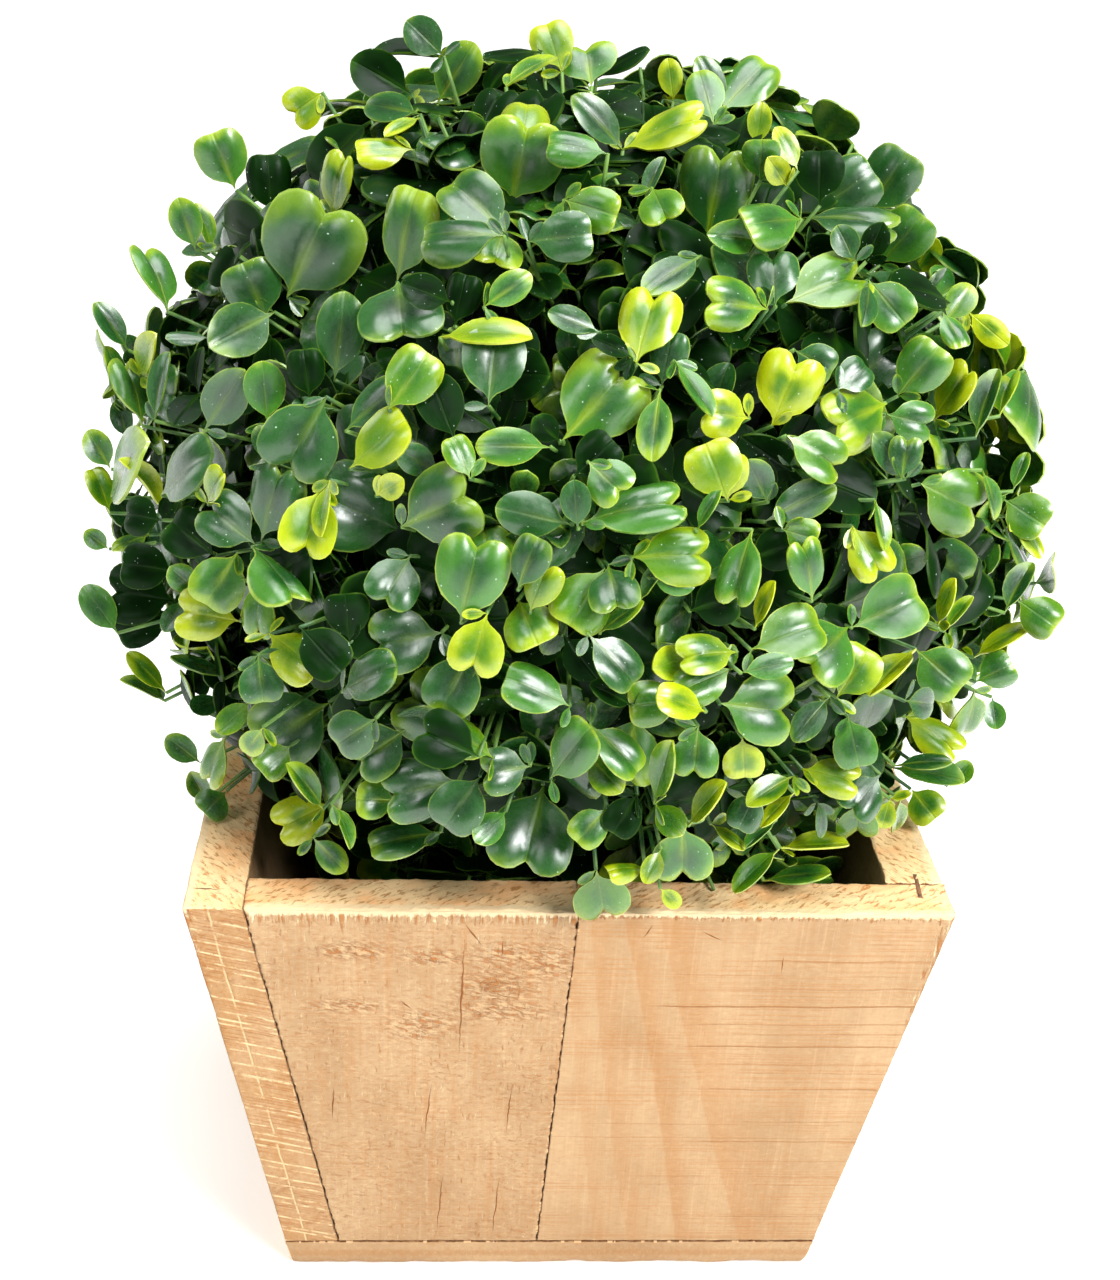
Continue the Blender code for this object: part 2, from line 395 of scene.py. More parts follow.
# Cracks: both ends, and the width in mm
CRACKS = {
    "front_plank_left": (
        (0.659, 0.948, 0.630, 0.575, 0.34),
        (0.526, 0.520, 0.475, 0.335, 0.24),
        (0.831, 0.521, 0.819, 0.345, 0.24),
        (0.801, 0.232, 0.771, 0.003, 0.24),
        (0.655, 0.968, 0.715, 0.900, 0.34),
        (0.436, 0.754, 0.474, 0.726, 0.34),
        (0.150, 0.504, 0.108, 0.391, 0.26),
        (0.552, 0.245, 0.492, 0.017, 0.22),
        (0.777, 0.925, 0.776, 0.868, 0.22),
    ),
    "front_plank_right": (
        (0.201, 0.969, 0.177, 0.925, 0.26),
        (0.327, 0.951, 0.399, 0.922, 0.30),
        (0.571, 0.887, 0.583, 0.832, 0.20),
    ),
    "right_plank_left": ((0.42, 0.97, 0.45, 0.52, 0.34),),
    "right_plank_right": ((0.70, 0.60, 0.68, 0.31, 0.26),),
    "back_plank_left": ((0.25, 0.45, 0.22, 0.02, 0.30),),
    "back_plank_right": ((0.40, 0.98, 0.43, 0.70, 0.28),),
    "left_plank_left": ((0.61, 0.93, 0.66, 0.66, 0.30),),
}
# Cracks in the sawn upper ends: both ends by shares across and through, and the width in mm
END_CRACKS = {
    "left_plank_right": ((0.900, 0.30, 0.905, 1.00, 0.34),),
    "back_plank_left": ((0.40, 0.35, 0.43, 1.00, 0.30),),
}
# Patches where the saw tore the fibres out: where, and the half-size both ways in mm
TEARS = {
    "front_plank_left": (
        (0.790, 0.880, 6.0, 2.8),
        (0.915, 0.865, 4.6, 3.6),
        (0.560, 0.872, 5.0, 1.8),
        (0.250, 0.735, 6.0, 1.6),
        (0.780, 0.724, 7.5, 2.2),
        (0.760, 0.790, 6.0, 4.2),
        (0.500, 0.680, 5.5, 3.6),
        (0.300, 0.890, 6.0, 2.0),
    ),
    "right_plank_left": (
        (0.30, 0.66, 9.0, 3.0),
        (0.70, 0.40, 7.0, 2.4),
    ),
    "back_plank_left": ((0.70, 0.80, 9.0, 3.2),),
    "left_plank_left": (
        (0.45, 0.74, 8.0, 2.6),
        (0.60, 0.35, 7.0, 2.2),
    ),
}
# Growth bands: how far across each starts at the foot, half-way up and at the rim, how dark it
# starts, and over how many mm it fades to the right
BANDS = {
    "front_plank_right": (
        (0.203, 0.062, -0.050, 0.45, 4.5),
        (0.320, 0.148, 0.025, 0.60, 6.0),
        (0.493, 0.296, 0.112, 0.85, 5.5),
        (0.727, 0.430, 0.207, 0.70, 8.0),
        (0.846, 0.500, 0.230, 0.30, 6.0),
    ),
}
# Lines where the saw bit deeper: how far up, how far across each starts, how dark
BITES = {
    "front_plank_right": (
        (0.868, 0.45, 0.45),
        (0.790, 0.30, 0.35),
        (0.741, 0.20, 0.85),
        (0.689, 0.30, 0.50),
        (0.660, 0.42, 0.40),
        (0.624, 0.30, 0.70),
        (0.570, 0.40, 0.45),
        (0.494, 0.36, 0.60),
        (0.394, 0.50, 0.35),
        (0.331, 0.36, 0.55),
        (0.266, 0.45, 0.30),
        (0.089, 0.40, 0.25),
    ),
}
# The staple in the right rim: both ends of its crown, and the wire's width and thickness
STAPLE_ENDS = ((0.0672, -0.0668, HEIGHT - 0.30 * MM), (0.0679, -0.0582, HEIGHT - 0.30 * MM))
STAPLE_WIDE = 0.85 * MM
STAPLE_THICK = 0.5 * MM
# Where in the wood's pattern each board lies, so that no two look alike
BOARD_OFFSETS = {
    f"{wall}_plank_{side}": Vector((0.31 * (turn + 1), 0.43 * turn + 0.9 * hand, OUT_OFFSET * hand))
    for turn, wall in enumerate(WALLS)
    for hand, side in enumerate(("left", "right"))
}
BOARD_OFFSETS["base_board"] = Vector((1.7, 0.2, 0.8))


def rows_of(table):
    """The rows of a table that is listed by board, with the board put first."""
    return [(node, *row) for node, rows in table.items() for row in rows]


def nearest_of(shader, place, spots):
    """How far the nearest of the spots is, in its own half-sizes."""
    nearest = None
    for centre, half_across, half_along in spots:
        away = shader.vectors("SUBTRACT", place, centre)
        away = shader.vectors("MULTIPLY", away, (1 / half_across, 1 / half_along, 0.0))
        far = shader.vectors("LENGTH", away, out="Value")
        nearest = shader.maths("MINIMUM", nearest, far) if nearest else far
    return nearest


def knot_share(shader, place, knots):
    """1 in the middle of a knot and 0 outside all of them; and its torn rings."""
    lumps = shader.noise(place, (0.50, 0.60, 0.35), detail=4.0, roughness=0.65)
    nearest = nearest_of(shader, place, knots)
    nearest = shader.times_plus(lumps, 1.5, shader.less(nearest, 0.75))
    rings = shader.maths("SINE", shader.times(nearest, 13.0))
    return shader.ramp(nearest, 0.65, 1.15, 1.0, 0.0), rings


def crack_share(shader, place, cracks):
    """1 along each crack, which wavers and thins to its ends, and 0 elsewhere."""
    waver = shader.noise(place, (0.25, 0.25, 0.25), detail=4.0)
    waver = shader.times_plus(waver, 0.9 * MM, -0.45 * MM)
    waver = shader.add("ShaderNodeCombineXYZ", inputs={0: waver})
    place = shader.vectors("ADD", place, waver)
    share = None
    for start, end, width in cracks:
        run = end - start
        away = shader.vectors("SUBTRACT", place, start)
        gone = shader.vectors("DOT_PRODUCT", away, run / run.length_squared, out="Value")
        gone = shader.maths("MINIMUM", shader.larger(gone, 0.0), 1.0)
        along_run = shader.vectors("SCALE", run, gone)
        away = shader.vectors("SUBTRACT", away, along_run)
        far = shader.vectors("LENGTH", away, out="Value")
        endward = shader.size(shader.times_plus(gone, 2.0, -1.0))
        far = shader.times_plus(endward, 0.7 * width, far)
        line = shader.ramp(far, 0.25 * width, 0.85 * width, 1.0, 0.0)
        share = shader.larger(share, line) if share else line
    return share


def band_share(shader, across, along, wobble, bands):
    """Growth bands, each dark where it starts and fading out to the right."""
    across = shader.times_plus(wobble, 2.0 * MM, shader.less(across, MM))
    share = None
    for foot, middle, rim, dark, fade in bands:
        long = rim.y - foot.y
        way = shader.times_plus(along, 1 / long, -foot.y / long)
        bend = 2 * (foot.x + rim.x - 2 * middle.x)
        slope = shader.times_plus(way, bend, rim.x - foot.x - bend)
        past = shader.less(across, shader.times_plus(way, slope, foot.x))
        started = shader.ramp(past, -0.1 * MM, 0.5 * MM, 0.0, dark)
        band = shader.times(started, shader.ramp(past, 0.2 * fade, fade, 1.0, 0.0))
        share = shader.plus(share, band) if share else band
    return share


def bite_share(shader, across, along, wobble, bites):
    """Level lines at given heights, each from a place on to the right."""
    way = shader.times_plus(wobble, 1.4 * MM, shader.less(along, 0.7 * MM))
    share = None
    for start, dark in bites:
        off = shader.size(shader.less(way, start.y))
        line = shader.ramp(off, 0.02 * MM, 0.28 * MM, dark, 0.0)
        begun = shader.ramp(shader.less(across, start.x), 0.0, 9 * MM)
        ended = shader.ramp(shader.less(across, start.x), 60 * MM, 66 * MM, 1.0, 0.0)
        line = shader.times(line, shader.times(begun, ended))
        share = shader.larger(share, line) if share else line
    return share


def growth_rings(shader, name, place, axes, wobble, bands):
    """Growth bands about 9 mm apart: each starts sharply, then fades. A board can have its own."""
    across, along, out = axes
    wander = shader.noise(place, (0.030, 0.010, 0.030), detail=2.0)
    if name == "pine_planed":
        return shader.ramp(shader.maths("SINE", shader.times_plus(out, 1.5 / MM, wander)), -0.4, 0.9)
    way = shader.times_plus(along, 0.20, shader.times(out, 0.5))
    way = shader.times(shader.plus(way, across), 1.0 / (9.0 * MM))
    turn_share = shader.maths("FRACT", shader.times_plus(wander, 2.6, way))
    faded = shader.ramp(turn_share, 0.15, 0.75, 1.0, 0.0)
    ring = shader.times(shader.ramp(turn_share, 0.0, 0.06), faded)
    mask = shader.ramp(shader.noise(place, (0.022, 0.006, 0.022)), 0.42, 0.60)
    ring = shader.times(ring, mask)
    if not bands:
        return ring
    # The board with given bands has no others near them.
    off = shader.size(shader.less(across, bands[0][1].x + 30 * MM))
    ring = shader.times(ring, shader.ramp(off, 80 * MM, 90 * MM))
    return shader.plus(ring, band_share(shader, across, along, wobble, bands))


def scored_lines(shader, place, out, along, side, wobble, tilt):
    """Pale raised lines: across the board at uneven steps, and a broken one lengthwise."""
    raised = saw_lines(shader, along, side, wobble, 2.9 * MM, 0.46 * MM, tilt)
    patchy = shader.noise(place, (0.10, 0.30, 0.30), detail=4.0, roughness=0.65)
    raised = shader.times(raised, shader.ramp(patchy, 0.38, 0.60))
    dotted = shader.ramp(shader.noise(place, (0.05, 0.30, 0.05)), 0.40, 0.52)
    beside = shader.times_plus(wobble, 1.5 * MM, shader.plus(out, SCORE_IN))
    lengthwise = shader.ramp(shader.size(beside), 0.0, 0.36 * MM, 0.7, 0.0)
    return shader.larger(raised, shader.times(lengthwise, dotted))


def torn_pits(shader, place, colour, torn, scored, tears):
    """Fibres torn out by the saw leave short ragged pits, most of them in patches; in the given tears
    the ridges get a painted highlight and the deepest pits painted shade.
    """
    slant = shader.add(
        "ShaderNodeVectorRotate",
        rotation_type="AXIS_ANGLE",
        inputs={0: place, "Axis": (0, 0, 1), "Angle": math.radians(16)},
    )
    pits = shader.noise(slant, (0.42, 1.15, 0.6), detail=5.0, roughness=0.75, distortion=0.4)
    sparse = 0.50 - 0.10 * torn
    mask = shader.ramp(shader.noise(place, (0.040, 0.055, 0.04)), sparse, sparse + 0.14)
    patches = shader.times_plus(mask, 0.60 if scored else 0.42, 0.10)
    pit = shader.times(shader.ramp(pits, 0.55, 0.66), patches)
    if tears:
        far = shader.times_plus(pits, 1.2, nearest_of(shader, place, tears))
        near = shader.ramp(far, 0.95, 2.7, 0.85, 0.0)
        torn_out = shader.times(shader.ramp(pits, 0.51, 0.58), near)
        pit = shader.larger(pit, torn_out)
        # Painted highlight: the ridges between the torn pits are paler.
        ridge = shader.times(shader.ramp(pits, 0.47, 0.38, 0.0, 0.38), near)
        colour = shader.tint(colour, ridge, "#F4D2A0")
        # Painted shade: the deepest torn pits are darker.
        deep = shader.times(shader.ramp(pits, 0.56, 0.62, 0.0, 0.62), near)
        colour = shader.tint(colour, deep, "#96561C")
    return shader.tint(colour, shader.times(pit, 0.80 * torn), "#B8661C"), pit


def sawn_pine(name, settings, marks=None):
    """Rough-sawn pine: pale, dry and matt, with fibres, soft growth bands and saw lines across."""
    ring_depth, fibre_depth, fine_depth, coarse_depth, torn, combed = SAWN[name]
    marks = marks or {}
    scored = name == "pine_scored_edge"
    shader = Shader(name)
    place, (across, along, out) = place_axes(shader)
    # Saw lines on an edge slope down from the wall's outside to its inside.
    side, tilt = (out, -0.46) if scored else (across, 0.01)
    wobble = shader.noise(place, (0.05, 0.05, 0.05), detail=3.0)
    ring = growth_rings(shader, name, place, (across, along, out), wobble, marks.get("bands"))
    # Fibres are about 0.4 mm wide and run for tens of millimetres.
    run = (0.025, 0.9, 0.9) if name == "pine_planed" else (1.1, 0.030, 1.1)
    fibres = shader.noise(place, run, detail=4.0, roughness=0.6)
    fine = saw_lines(shader, along, side, wobble, 0.85 * MM, 0.30 * MM, tilt)
    fine_mask = shader.ramp(shader.noise(place, (0.05, 0.16, 0.05)), 0.42, 0.62)
    fine = shader.times(fine, fine_mask)
    coarse = saw_lines(shader, along, side, wobble, 7.0 * MM, 0.22 * MM, tilt)
    coarse_mask = shader.ramp(shader.noise(place, (0.05, 0.11, 0.05)), 0.44, 0.58)
    coarse = shader.times(shader.times(coarse, coarse_mask), coarse_depth)
    if marks.get("bites"):
        given = bite_share(shader, across, along, wobble, marks["bites"])
        coarse = shader.larger(coarse, given)
    cloud = shader.noise(place, (0.06, 0.035, 0.06), detail=3.0)
    base = linear("#AB7B47") if scored else tuple(settings.wood)
    colour = shader.blend(shader.ramp(cloud, 0.20, 0.80), base, linear("#C2A27B"))
    colour = shader.blend(shader.times(ring, ring_depth), colour, tuple(settings.latewood))
    colour = shader.tint(colour, shader.ramp(fibres, 0.50, 0.78, 0.0, fibre_depth), "#B8834F")
    colour = shader.tint(colour, shader.ramp(fibres, 0.46, 0.26, 0.0, 0.16), "#E9C69A")
    fine_colour = linear("#A8682E" if scored else "#B2763F")
    colour = shader.blend(shader.times(fine, fine_depth), colour, fine_colour)
    colour = shader.tint(colour, coarse, "#A26A38")
    # The saw leaves a rough, sandy grain all over.
    grit = shader.noise(place, (0.55, 1.0, 0.8), detail=4.0, roughness=0.72)
    rough = 0.26 if scored else 0.10 + 0.24 * torn
    colour = shader.tint(colour, shader.ramp(grit, 0.50, 0.66, 0.0, rough), "#A2662C")
    colour = shader.tint(colour, shader.ramp(grit, 0.47, 0.34, 0.0, 0.6 * rough), "#ECCEA0")
    height = shader.times_plus(fibres, 0.30, shader.times(fine, -0.25 * fine_depth))
    height = shader.times_plus(coarse, -0.45, height)
    height = shader.times_plus(grit, -0.35 - 0.35 * torn, height)
    if scored:
        raised = scored_lines(shader, place, out, along, side, wobble, tilt)
        colour = shader.tint(colour, shader.times(raised, 0.92), "#F4D6A4")
        height = shader.times_plus(raised, 0.6, height)
    colour, pit = torn_pits(shader, place, colour, torn, scored, marks.get("tears"))
    height = shader.times_plus(pit, -0.38 * torn, height)
    if marks.get("knots"):
        knot, knot_rings = knot_share(shader, place, marks["knots"])
        ringed = shader.ramp(knot_rings, -0.2, 1.0, 0.08, 0.70)
        colour = shader.tint(colour, shader.times(knot, ringed), "#B87434")
        height = shader.times_plus(shader.times(knot, knot_rings), -0.3, height)
    if marks.get("cracks"):
        crack = crack_share(shader, place, marks["cracks"])
        colour = shader.tint(colour, crack, "#8E5220")
        height = shader.times_plus(crack, -0.34, height)
    edge = 0.0
    if combed:
        colour, edge = frayed_edges(shader, place, colour, combed)
    colour = bruised_joints(shader, place, colour)
    height = shader.times_plus(edge, 0.4, height)
    return shader.finish(
        Base_Color=colour,
        Roughness=shader.ramp(fibres, 0.3, 0.7, 0.70, 0.86),
        IOR=1.5,
        Specular_IOR_Level=0.25,
        Normal=shader.bumped(height, 0.48 * MM, 0.95),
    )


def cut_end_pine(settings, cracks):
    """Sawn ends of the boards: pale, open-pored and furry, with the rings cut across; the pale base is
    partly painted light, raised so that the upward rim reads as brightly lit.
    """
    shader = Shader("pine_cut_end")
    place, (across, _, out) = place_axes(shader)
    wander = shader.noise(place, (0.05, 0.02, 0.05), detail=2.0)
    ring_way = shader.times(out, 1.0 / (2.6 * MM))
    ring_way = shader.times_plus(across, 0.16 / MM, ring_way)
    ring_way = shader.times_plus(wander, 2.0, ring_way)
    ring = shader.maths("SINE", shader.times(ring_way, math.tau))
    # Open pores and torn fibres lie in short slanting dashes.
    slant = shader.add(
        "ShaderNodeVectorRotate",
        rotation_type="AXIS_ANGLE",
        inputs={0: place, "Axis": (0, 1, 0), "Angle": math.radians(-40)},
    )
    dashes = shader.noise(slant, (0.42, 0.5, 1.35), detail=4.0, roughness=0.6)
    grit = shader.noise(place, (0.8, 0.8, 0.8), detail=4.0, roughness=0.7)
    cloud = shader.noise(place, (0.10, 0.10, 0.10), detail=2.0)
    # The pale base is partly the end grain's tone and partly painted light on the upward rim.
    base = shader.blend(shader.ramp(cloud, 0.34, 0.58), linear("#FFC488"), linear("#FFDAA4"))
    colour = shader.blend(shader.ramp(ring, 0.2, 1.0, 0.0, 0.12), base, tuple(settings.latewood))
    colour = shader.tint(colour, shader.ramp(grit, 0.55, 0.74, 0.0, 0.45), "#D08F50")
    colour = shader.tint(colour, shader.ramp(dashes, 0.52, 0.64, 0.0, 0.78), "#B87434")
    crack = crack_share(shader, place, cracks)
    colour = shader.tint(colour, crack, "#4A2C14")
    colour, edge = frayed_edges(shader, place, colour)
    colour = bruised_joints(shader, place, colour)
    height = shader.times_plus(dashes, -1.0, shader.times(grit, 0.5))
    height = shader.times_plus(edge, 0.2, height)
    return shader.finish(
        Base_Color=colour,
        Roughness=0.86,
        IOR=1.5,
        Specular_IOR_Level=0.2,
        Normal=shader.bumped(height, 0.28 * MM, 0.8),
    )


def grained(name, dark, pale, waves, depth, strength, detail=3.0, grit=0.55, **finish):
    """A material of two colours mixed by a grain, which also raises the surface."""
    shader = Shader(name)
    place = shader.add("ShaderNodeTexCoord", out="Object")
    grain = shader.noise(place, (waves, waves, waves), detail=detail, roughness=grit)
    colour = shader.blend(shader.ramp(grain, 0.35, 0.65), linear(dark), linear(pale))
    return shader.finish(Base_Color=colour, Normal=shader.bumped(grain, depth, strength), **finish)


def rusted_steel():
    """Staple wire gone brown: a thin matt rust with darker pits."""
    look = {"detail": 4.0, "grit": 0.7, "Metallic": 0.3, "Roughness": 0.7}
    return grained("rusted_steel", "#5E3F30", "#A5785A", 1.4, 0.10 * MM, 0.8, **look)


def plane_of(point, normal):
    """A plane as (normal, distance), for crossing three of them in a corner."""
    return normal, normal.dot(point)


def wall_planes(turn):
    """Outer and inner plane of the wall that stands `turn` quarter turns round from the front."""
    lean = math.atan2(TOP_HALF - BASE_HALF, HEIGHT)
    spin = Matrix.Rotation(turn * math.pi / 2, 3, "Z")
    outward = spin @ Vector((0, -math.cos(lean), -math.sin(lean)))
    edge = spin @ Vector((0, -BASE_HALF, 0))
    outer = plane_of(edge, outward)
    return outer, (outer[0], outer[1] - BOARD)


def shifted(plane, distance):
    """The plane moved along its normal."""
    return plane[0], plane[1] + distance


def level(z):
    """The level plane at a height."""
    return Vector((0, 0, 1)), z


def seam_plane(turn):
    """The upright joint between a wall's two planks."""
    spin = Matrix.Rotation(turn * math.pi / 2, 3, "Z")
    slope = (SEAM_TOP_X - SEAM_LOW_X) / HEIGHT
    return plane_of(spin @ Vector((SEAM_LOW_X, 0, 0)), spin @ Vector((1, 0, -slope)).normalized())


def crossing(*planes):
    """The point where three planes meet."""
    normals = Matrix([normal for normal, _ in planes])
    return normals.inverted() @ Vector([distance for _, distance in planes])


def corners_of(sides, ends, faces):
    """The eight corners of a board, by (across, along, through), each 0 or 1."""
    return {
        (i, j, k): crossing(sides[i], ends[j], faces[k])
        for i in (0, 1)
        for j in (0, 1)
        for k in (0, 1)
    }


def sizes_of(corners):
    """A board's mean width, its length and its thickness."""
    across = (corners[1, 0, 1] - corners[0, 0, 1]).length
    across = (across + (corners[1, 1, 1] - corners[0, 1, 1]).length) / 2
    along = (corners[0, 1, 1] - corners[0, 0, 1]).length
    through = (corners[0, 0, 1] - corners[0, 0, 0]).length
    return across, along, through


def own_place(name, corners, point):
    """A point in the board's own coordinates: across, along and out of its face, in metres."""
    start = corners[0, 0, 1]
    across = (corners[1, 0, 1] - start).normalized()
    out = across.cross(corners[0, 1, 1] - start).normalized()
    away = point - start
    return Vector([away.dot(axis) for axis in (across, out.cross(across), out)]) + BOARD_OFFSETS[name]


def inside_corners(corners, u, v, w):
    """The point at shares u, v, w of the way across, along and through the board."""
    point = Vector()
    for (i, j, k), corner in corners.items():
        share = (u if i else 1 - u) * (v if j else 1 - v) * (w if k else 1 - w)
        point += corner * share
    return point


def cell_places(length, cell, fine_end=0.0, edge=0.4 * MM):
    """Cells along a length, as shares of it: narrow at both ends, and fine for a way from the last."""
    coarse_length = length - fine_end - 4 * edge
    inner = max(round(coarse_length / cell), 2)
    even = np.linspace(2 * edge, 2 * edge + coarse_length, inner + 1)
    fine = np.linspace(even[-1], length - 2 * edge, max(round(fine_end / edge), 1) + 1)[1:]
    ends = [length - edge, length]
    inside = np.concatenate([even, fine]) if fine_end else even
    return np.concatenate([[0, edge], inside, ends]) / length


def mesh_of(bm, name):
    """The finished mesh, shaded smooth."""
    mesh = bpy.data.meshes.new(name)
    bm.to_mesh(mesh)
    bm.free()
    mesh.shade_smooth()
    return mesh


def linked(name, data):
    """A new object in the scene."""
    made = bpy.data.objects.new(name, data)
    bpy.context.scene.collection.objects.link(made)
    return made


class Board:
    """A board cut from a fine cube: its edges are worn round and its faces given their relief."""

    def __init__(self, name, corners, settings, joints, relief=0.22 * MM, rim=0.0, frayed=0.0):
        self.name, self.corners = name, corners
        self.sizes = sizes_of(corners)
        self.wear, self.relief, self.rim, self.frayed = settings.edge_wear, relief, rim, frayed
        self.joints = joints
        self.seed = BOARD_OFFSETS[name].x * 17 + BOARD_OFFSETS[name].y * 5
        self.places = [
            cell_places(self.sizes[0], settings.cell),
            cell_places(self.sizes[1], settings.cell, 4 * MM if rim else 0.0),
            cell_places(self.sizes[2], settings.cell),
        ]

    def mesh(self):
        bm = bmesh.new()
        bmesh.ops.create_cube(bm, size=1.0, matrix=Matrix.Translation((0.5, 0.5, 0.5)))
        for face in bm.faces:
            # Slots: 0 the wide faces, 1 the sawn ends, 2 the long edges
            across, along, _ = (abs(value) > 0.5 for value in face.normal)
            face.material_index = 1 if along else 2 if across else 0
        for axis in range(3):
            edges = [e for e in bm.edges if abs((e.verts[1].co - e.verts[0].co)[axis]) > 0.5]
            cuts = len(self.places[axis]) - 2
            bmesh.ops.subdivide_edges(bm, edges=edges, cuts=cuts, use_grid_fill=True)
        place = bm.verts.layers.float_vector.new(PLACE)
        joint = bm.verts.layers.float.new(JOINT)
        worn_edge = bm.verts.layers.float.new(WORN)
        for vert in bm.verts:
            shares = [
                self.places[axis][round(vert.co[axis] * (len(self.places[axis]) - 1))]
                for axis in range(3)
            ]
            local = Vector([share * size for share, size in zip(shares, self.sizes)])
            vert[place] = own_place(self.name, self.corners, inside_corners(self.corners, *shares))
            vert[joint] = self.joint_distance(local, shares)
            moved, vert[worn_edge] = self.worn(local, shares)
            shares = [length / size for length, size in zip(moved, self.sizes)]
            vert.co = inside_corners(self.corners, *shares)
        bmesh.ops.recalc_face_normals(bm, faces=bm.faces)
        return mesh_of(bm, self.name)

    def joint_distance(self, local, shares):
        """Distance from the nearest joint along the surface."""
        width, _, thickness = self.sizes
        far = 1.0
        if "left" in self.joints:
            far = min(far, local.x)
        if "right" in self.joints:
            far = min(far, width - local.x)
        if "foot" in self.joints:
            far = min(far, local.y)
        if "top" in self.joints:
            far = min(far, thickness - local.z)
        if "inner" in self.joints and shares[0] == 1.0:
            far = min(far, local.z)
        return far

    def worn(self, local, shares):
        """The surface point moved in by wear and relief, and how worn the edge there is."""
        sizes, here = self.sizes, local * (1 / MM)
        spot = Vector((here.x * 0.16, here.y * 0.10 + self.seed * 7.1, here.z * 0.16))
        radius = self.wear * (1.0 + 0.8 * noise.noise(spot) + 0.5 * noise.noise(spot * 3.1))
        in_joint = self.joint_distance(local, shares) < 1.5 * MM
        radius *= 0.22 if in_joint else 1.0
        upper = smoothstep(sizes[1] - 6 * MM, sizes[1] - 1 * MM, local.y) * self.rim
        front = smoothstep(0.45, 0.9, shares[2])
        ragged = noise.fractal(Vector((here.x * 0.42, here.y * 0.3, self.seed)), 0.8, 2.1, 3)
        radius += upper * front * self.frayed * (1.0 + 0.9 * ragged)
        radius = max(radius, 0.04 * MM if in_joint else 0.12 * MM)
        core = Vector([min(max(local[i], radius), sizes[i] - radius) for i in range(3)])
        away = local - core
        moved = core + away.normalized() * radius if away.length > 1e-9 else local.copy()
        if shares[2] == 1.0:
            moved.z -= self.relief * outer_relief(here, self.seed)
        elif shares[2] == 0.0:
            moved.z += self.relief * outer_relief(here, self.seed + 3) * 0.5
        if shares[1] == 1.0 and self.rim:
            lumps = noise.fractal(Vector((here.x * 0.55, self.seed, here.z * 0.8)), 1.0, 2.0, 3)
            moved.y -= 0.38 * MM * (0.5 + lumps)
        if shares[0] in (0.0, 1.0):
            score = noise.noise(Vector((here.y * 0.70, here.z * 0.08, self.seed)))
            rough = 0.16 * MM * (0.5 + score)
            if in_joint:
                # Burrs all but close the joint here and there.
                rough = -min(1.8 * max(score + 0.12, 0.0), 0.28) * MM if "right" in self.joints else 0.0
            moved.x += rough if shares[0] == 0.0 else -rough
        from_top = sizes[1] - local.y
        from_front = sizes[2] - local.z
        furry = 4.6 * MM if self.frayed > 0.3 * MM else 3.4 * MM
        worn_share = self.rim * smoothstep(furry, 0.6 * MM, math.hypot(from_top, from_front))
        if "inner" in self.joints:
            upper = smoothstep(0.60, 0.95, shares[1])
            wide = (1.3 + 2.6 * upper) * MM
            beside = smoothstep(wide, 0.2 * wide, math.hypot(sizes[0] - local.x, 2 * from_front))
            worn_share = max(worn_share, self.rim * beside * (0.50 + 0.25 * upper))
        return moved, worn_share


def outer_relief(here, seed):
    """Depth, from about 0 to 1, of the sawn face at a place in millimetres."""
    wave = noise.noise(Vector((here.x * 0.07, here.y * 0.022, seed)))
    ridge = noise.fractal(Vector((here.x * 0.45, here.y * 0.05, seed + 9.0)), 1.0, 2.0, 3)
    patch = smoothstep(0.0, 0.35, noise.noise(Vector((here.x * 0.05, here.y * 0.045, seed + 4.0))))
    torn = noise.fractal(Vector((here.x * 0.22, here.y * 0.5, seed + 5.0)), 1.0, 2.0, 3)
    return 0.5 + 0.5 * wave + 0.25 * ridge + patch * max(torn, 0) * 1.1


def piece_from(mesh, name, materials, replaced=()):
    """A shown piece that rides on the plant's body."""
    made = linked(name, mesh)
    for material in materials:
        mesh.materials.append(material)
    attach(made, BODY)
    if replaced:
        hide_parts(*replaced)
    return made


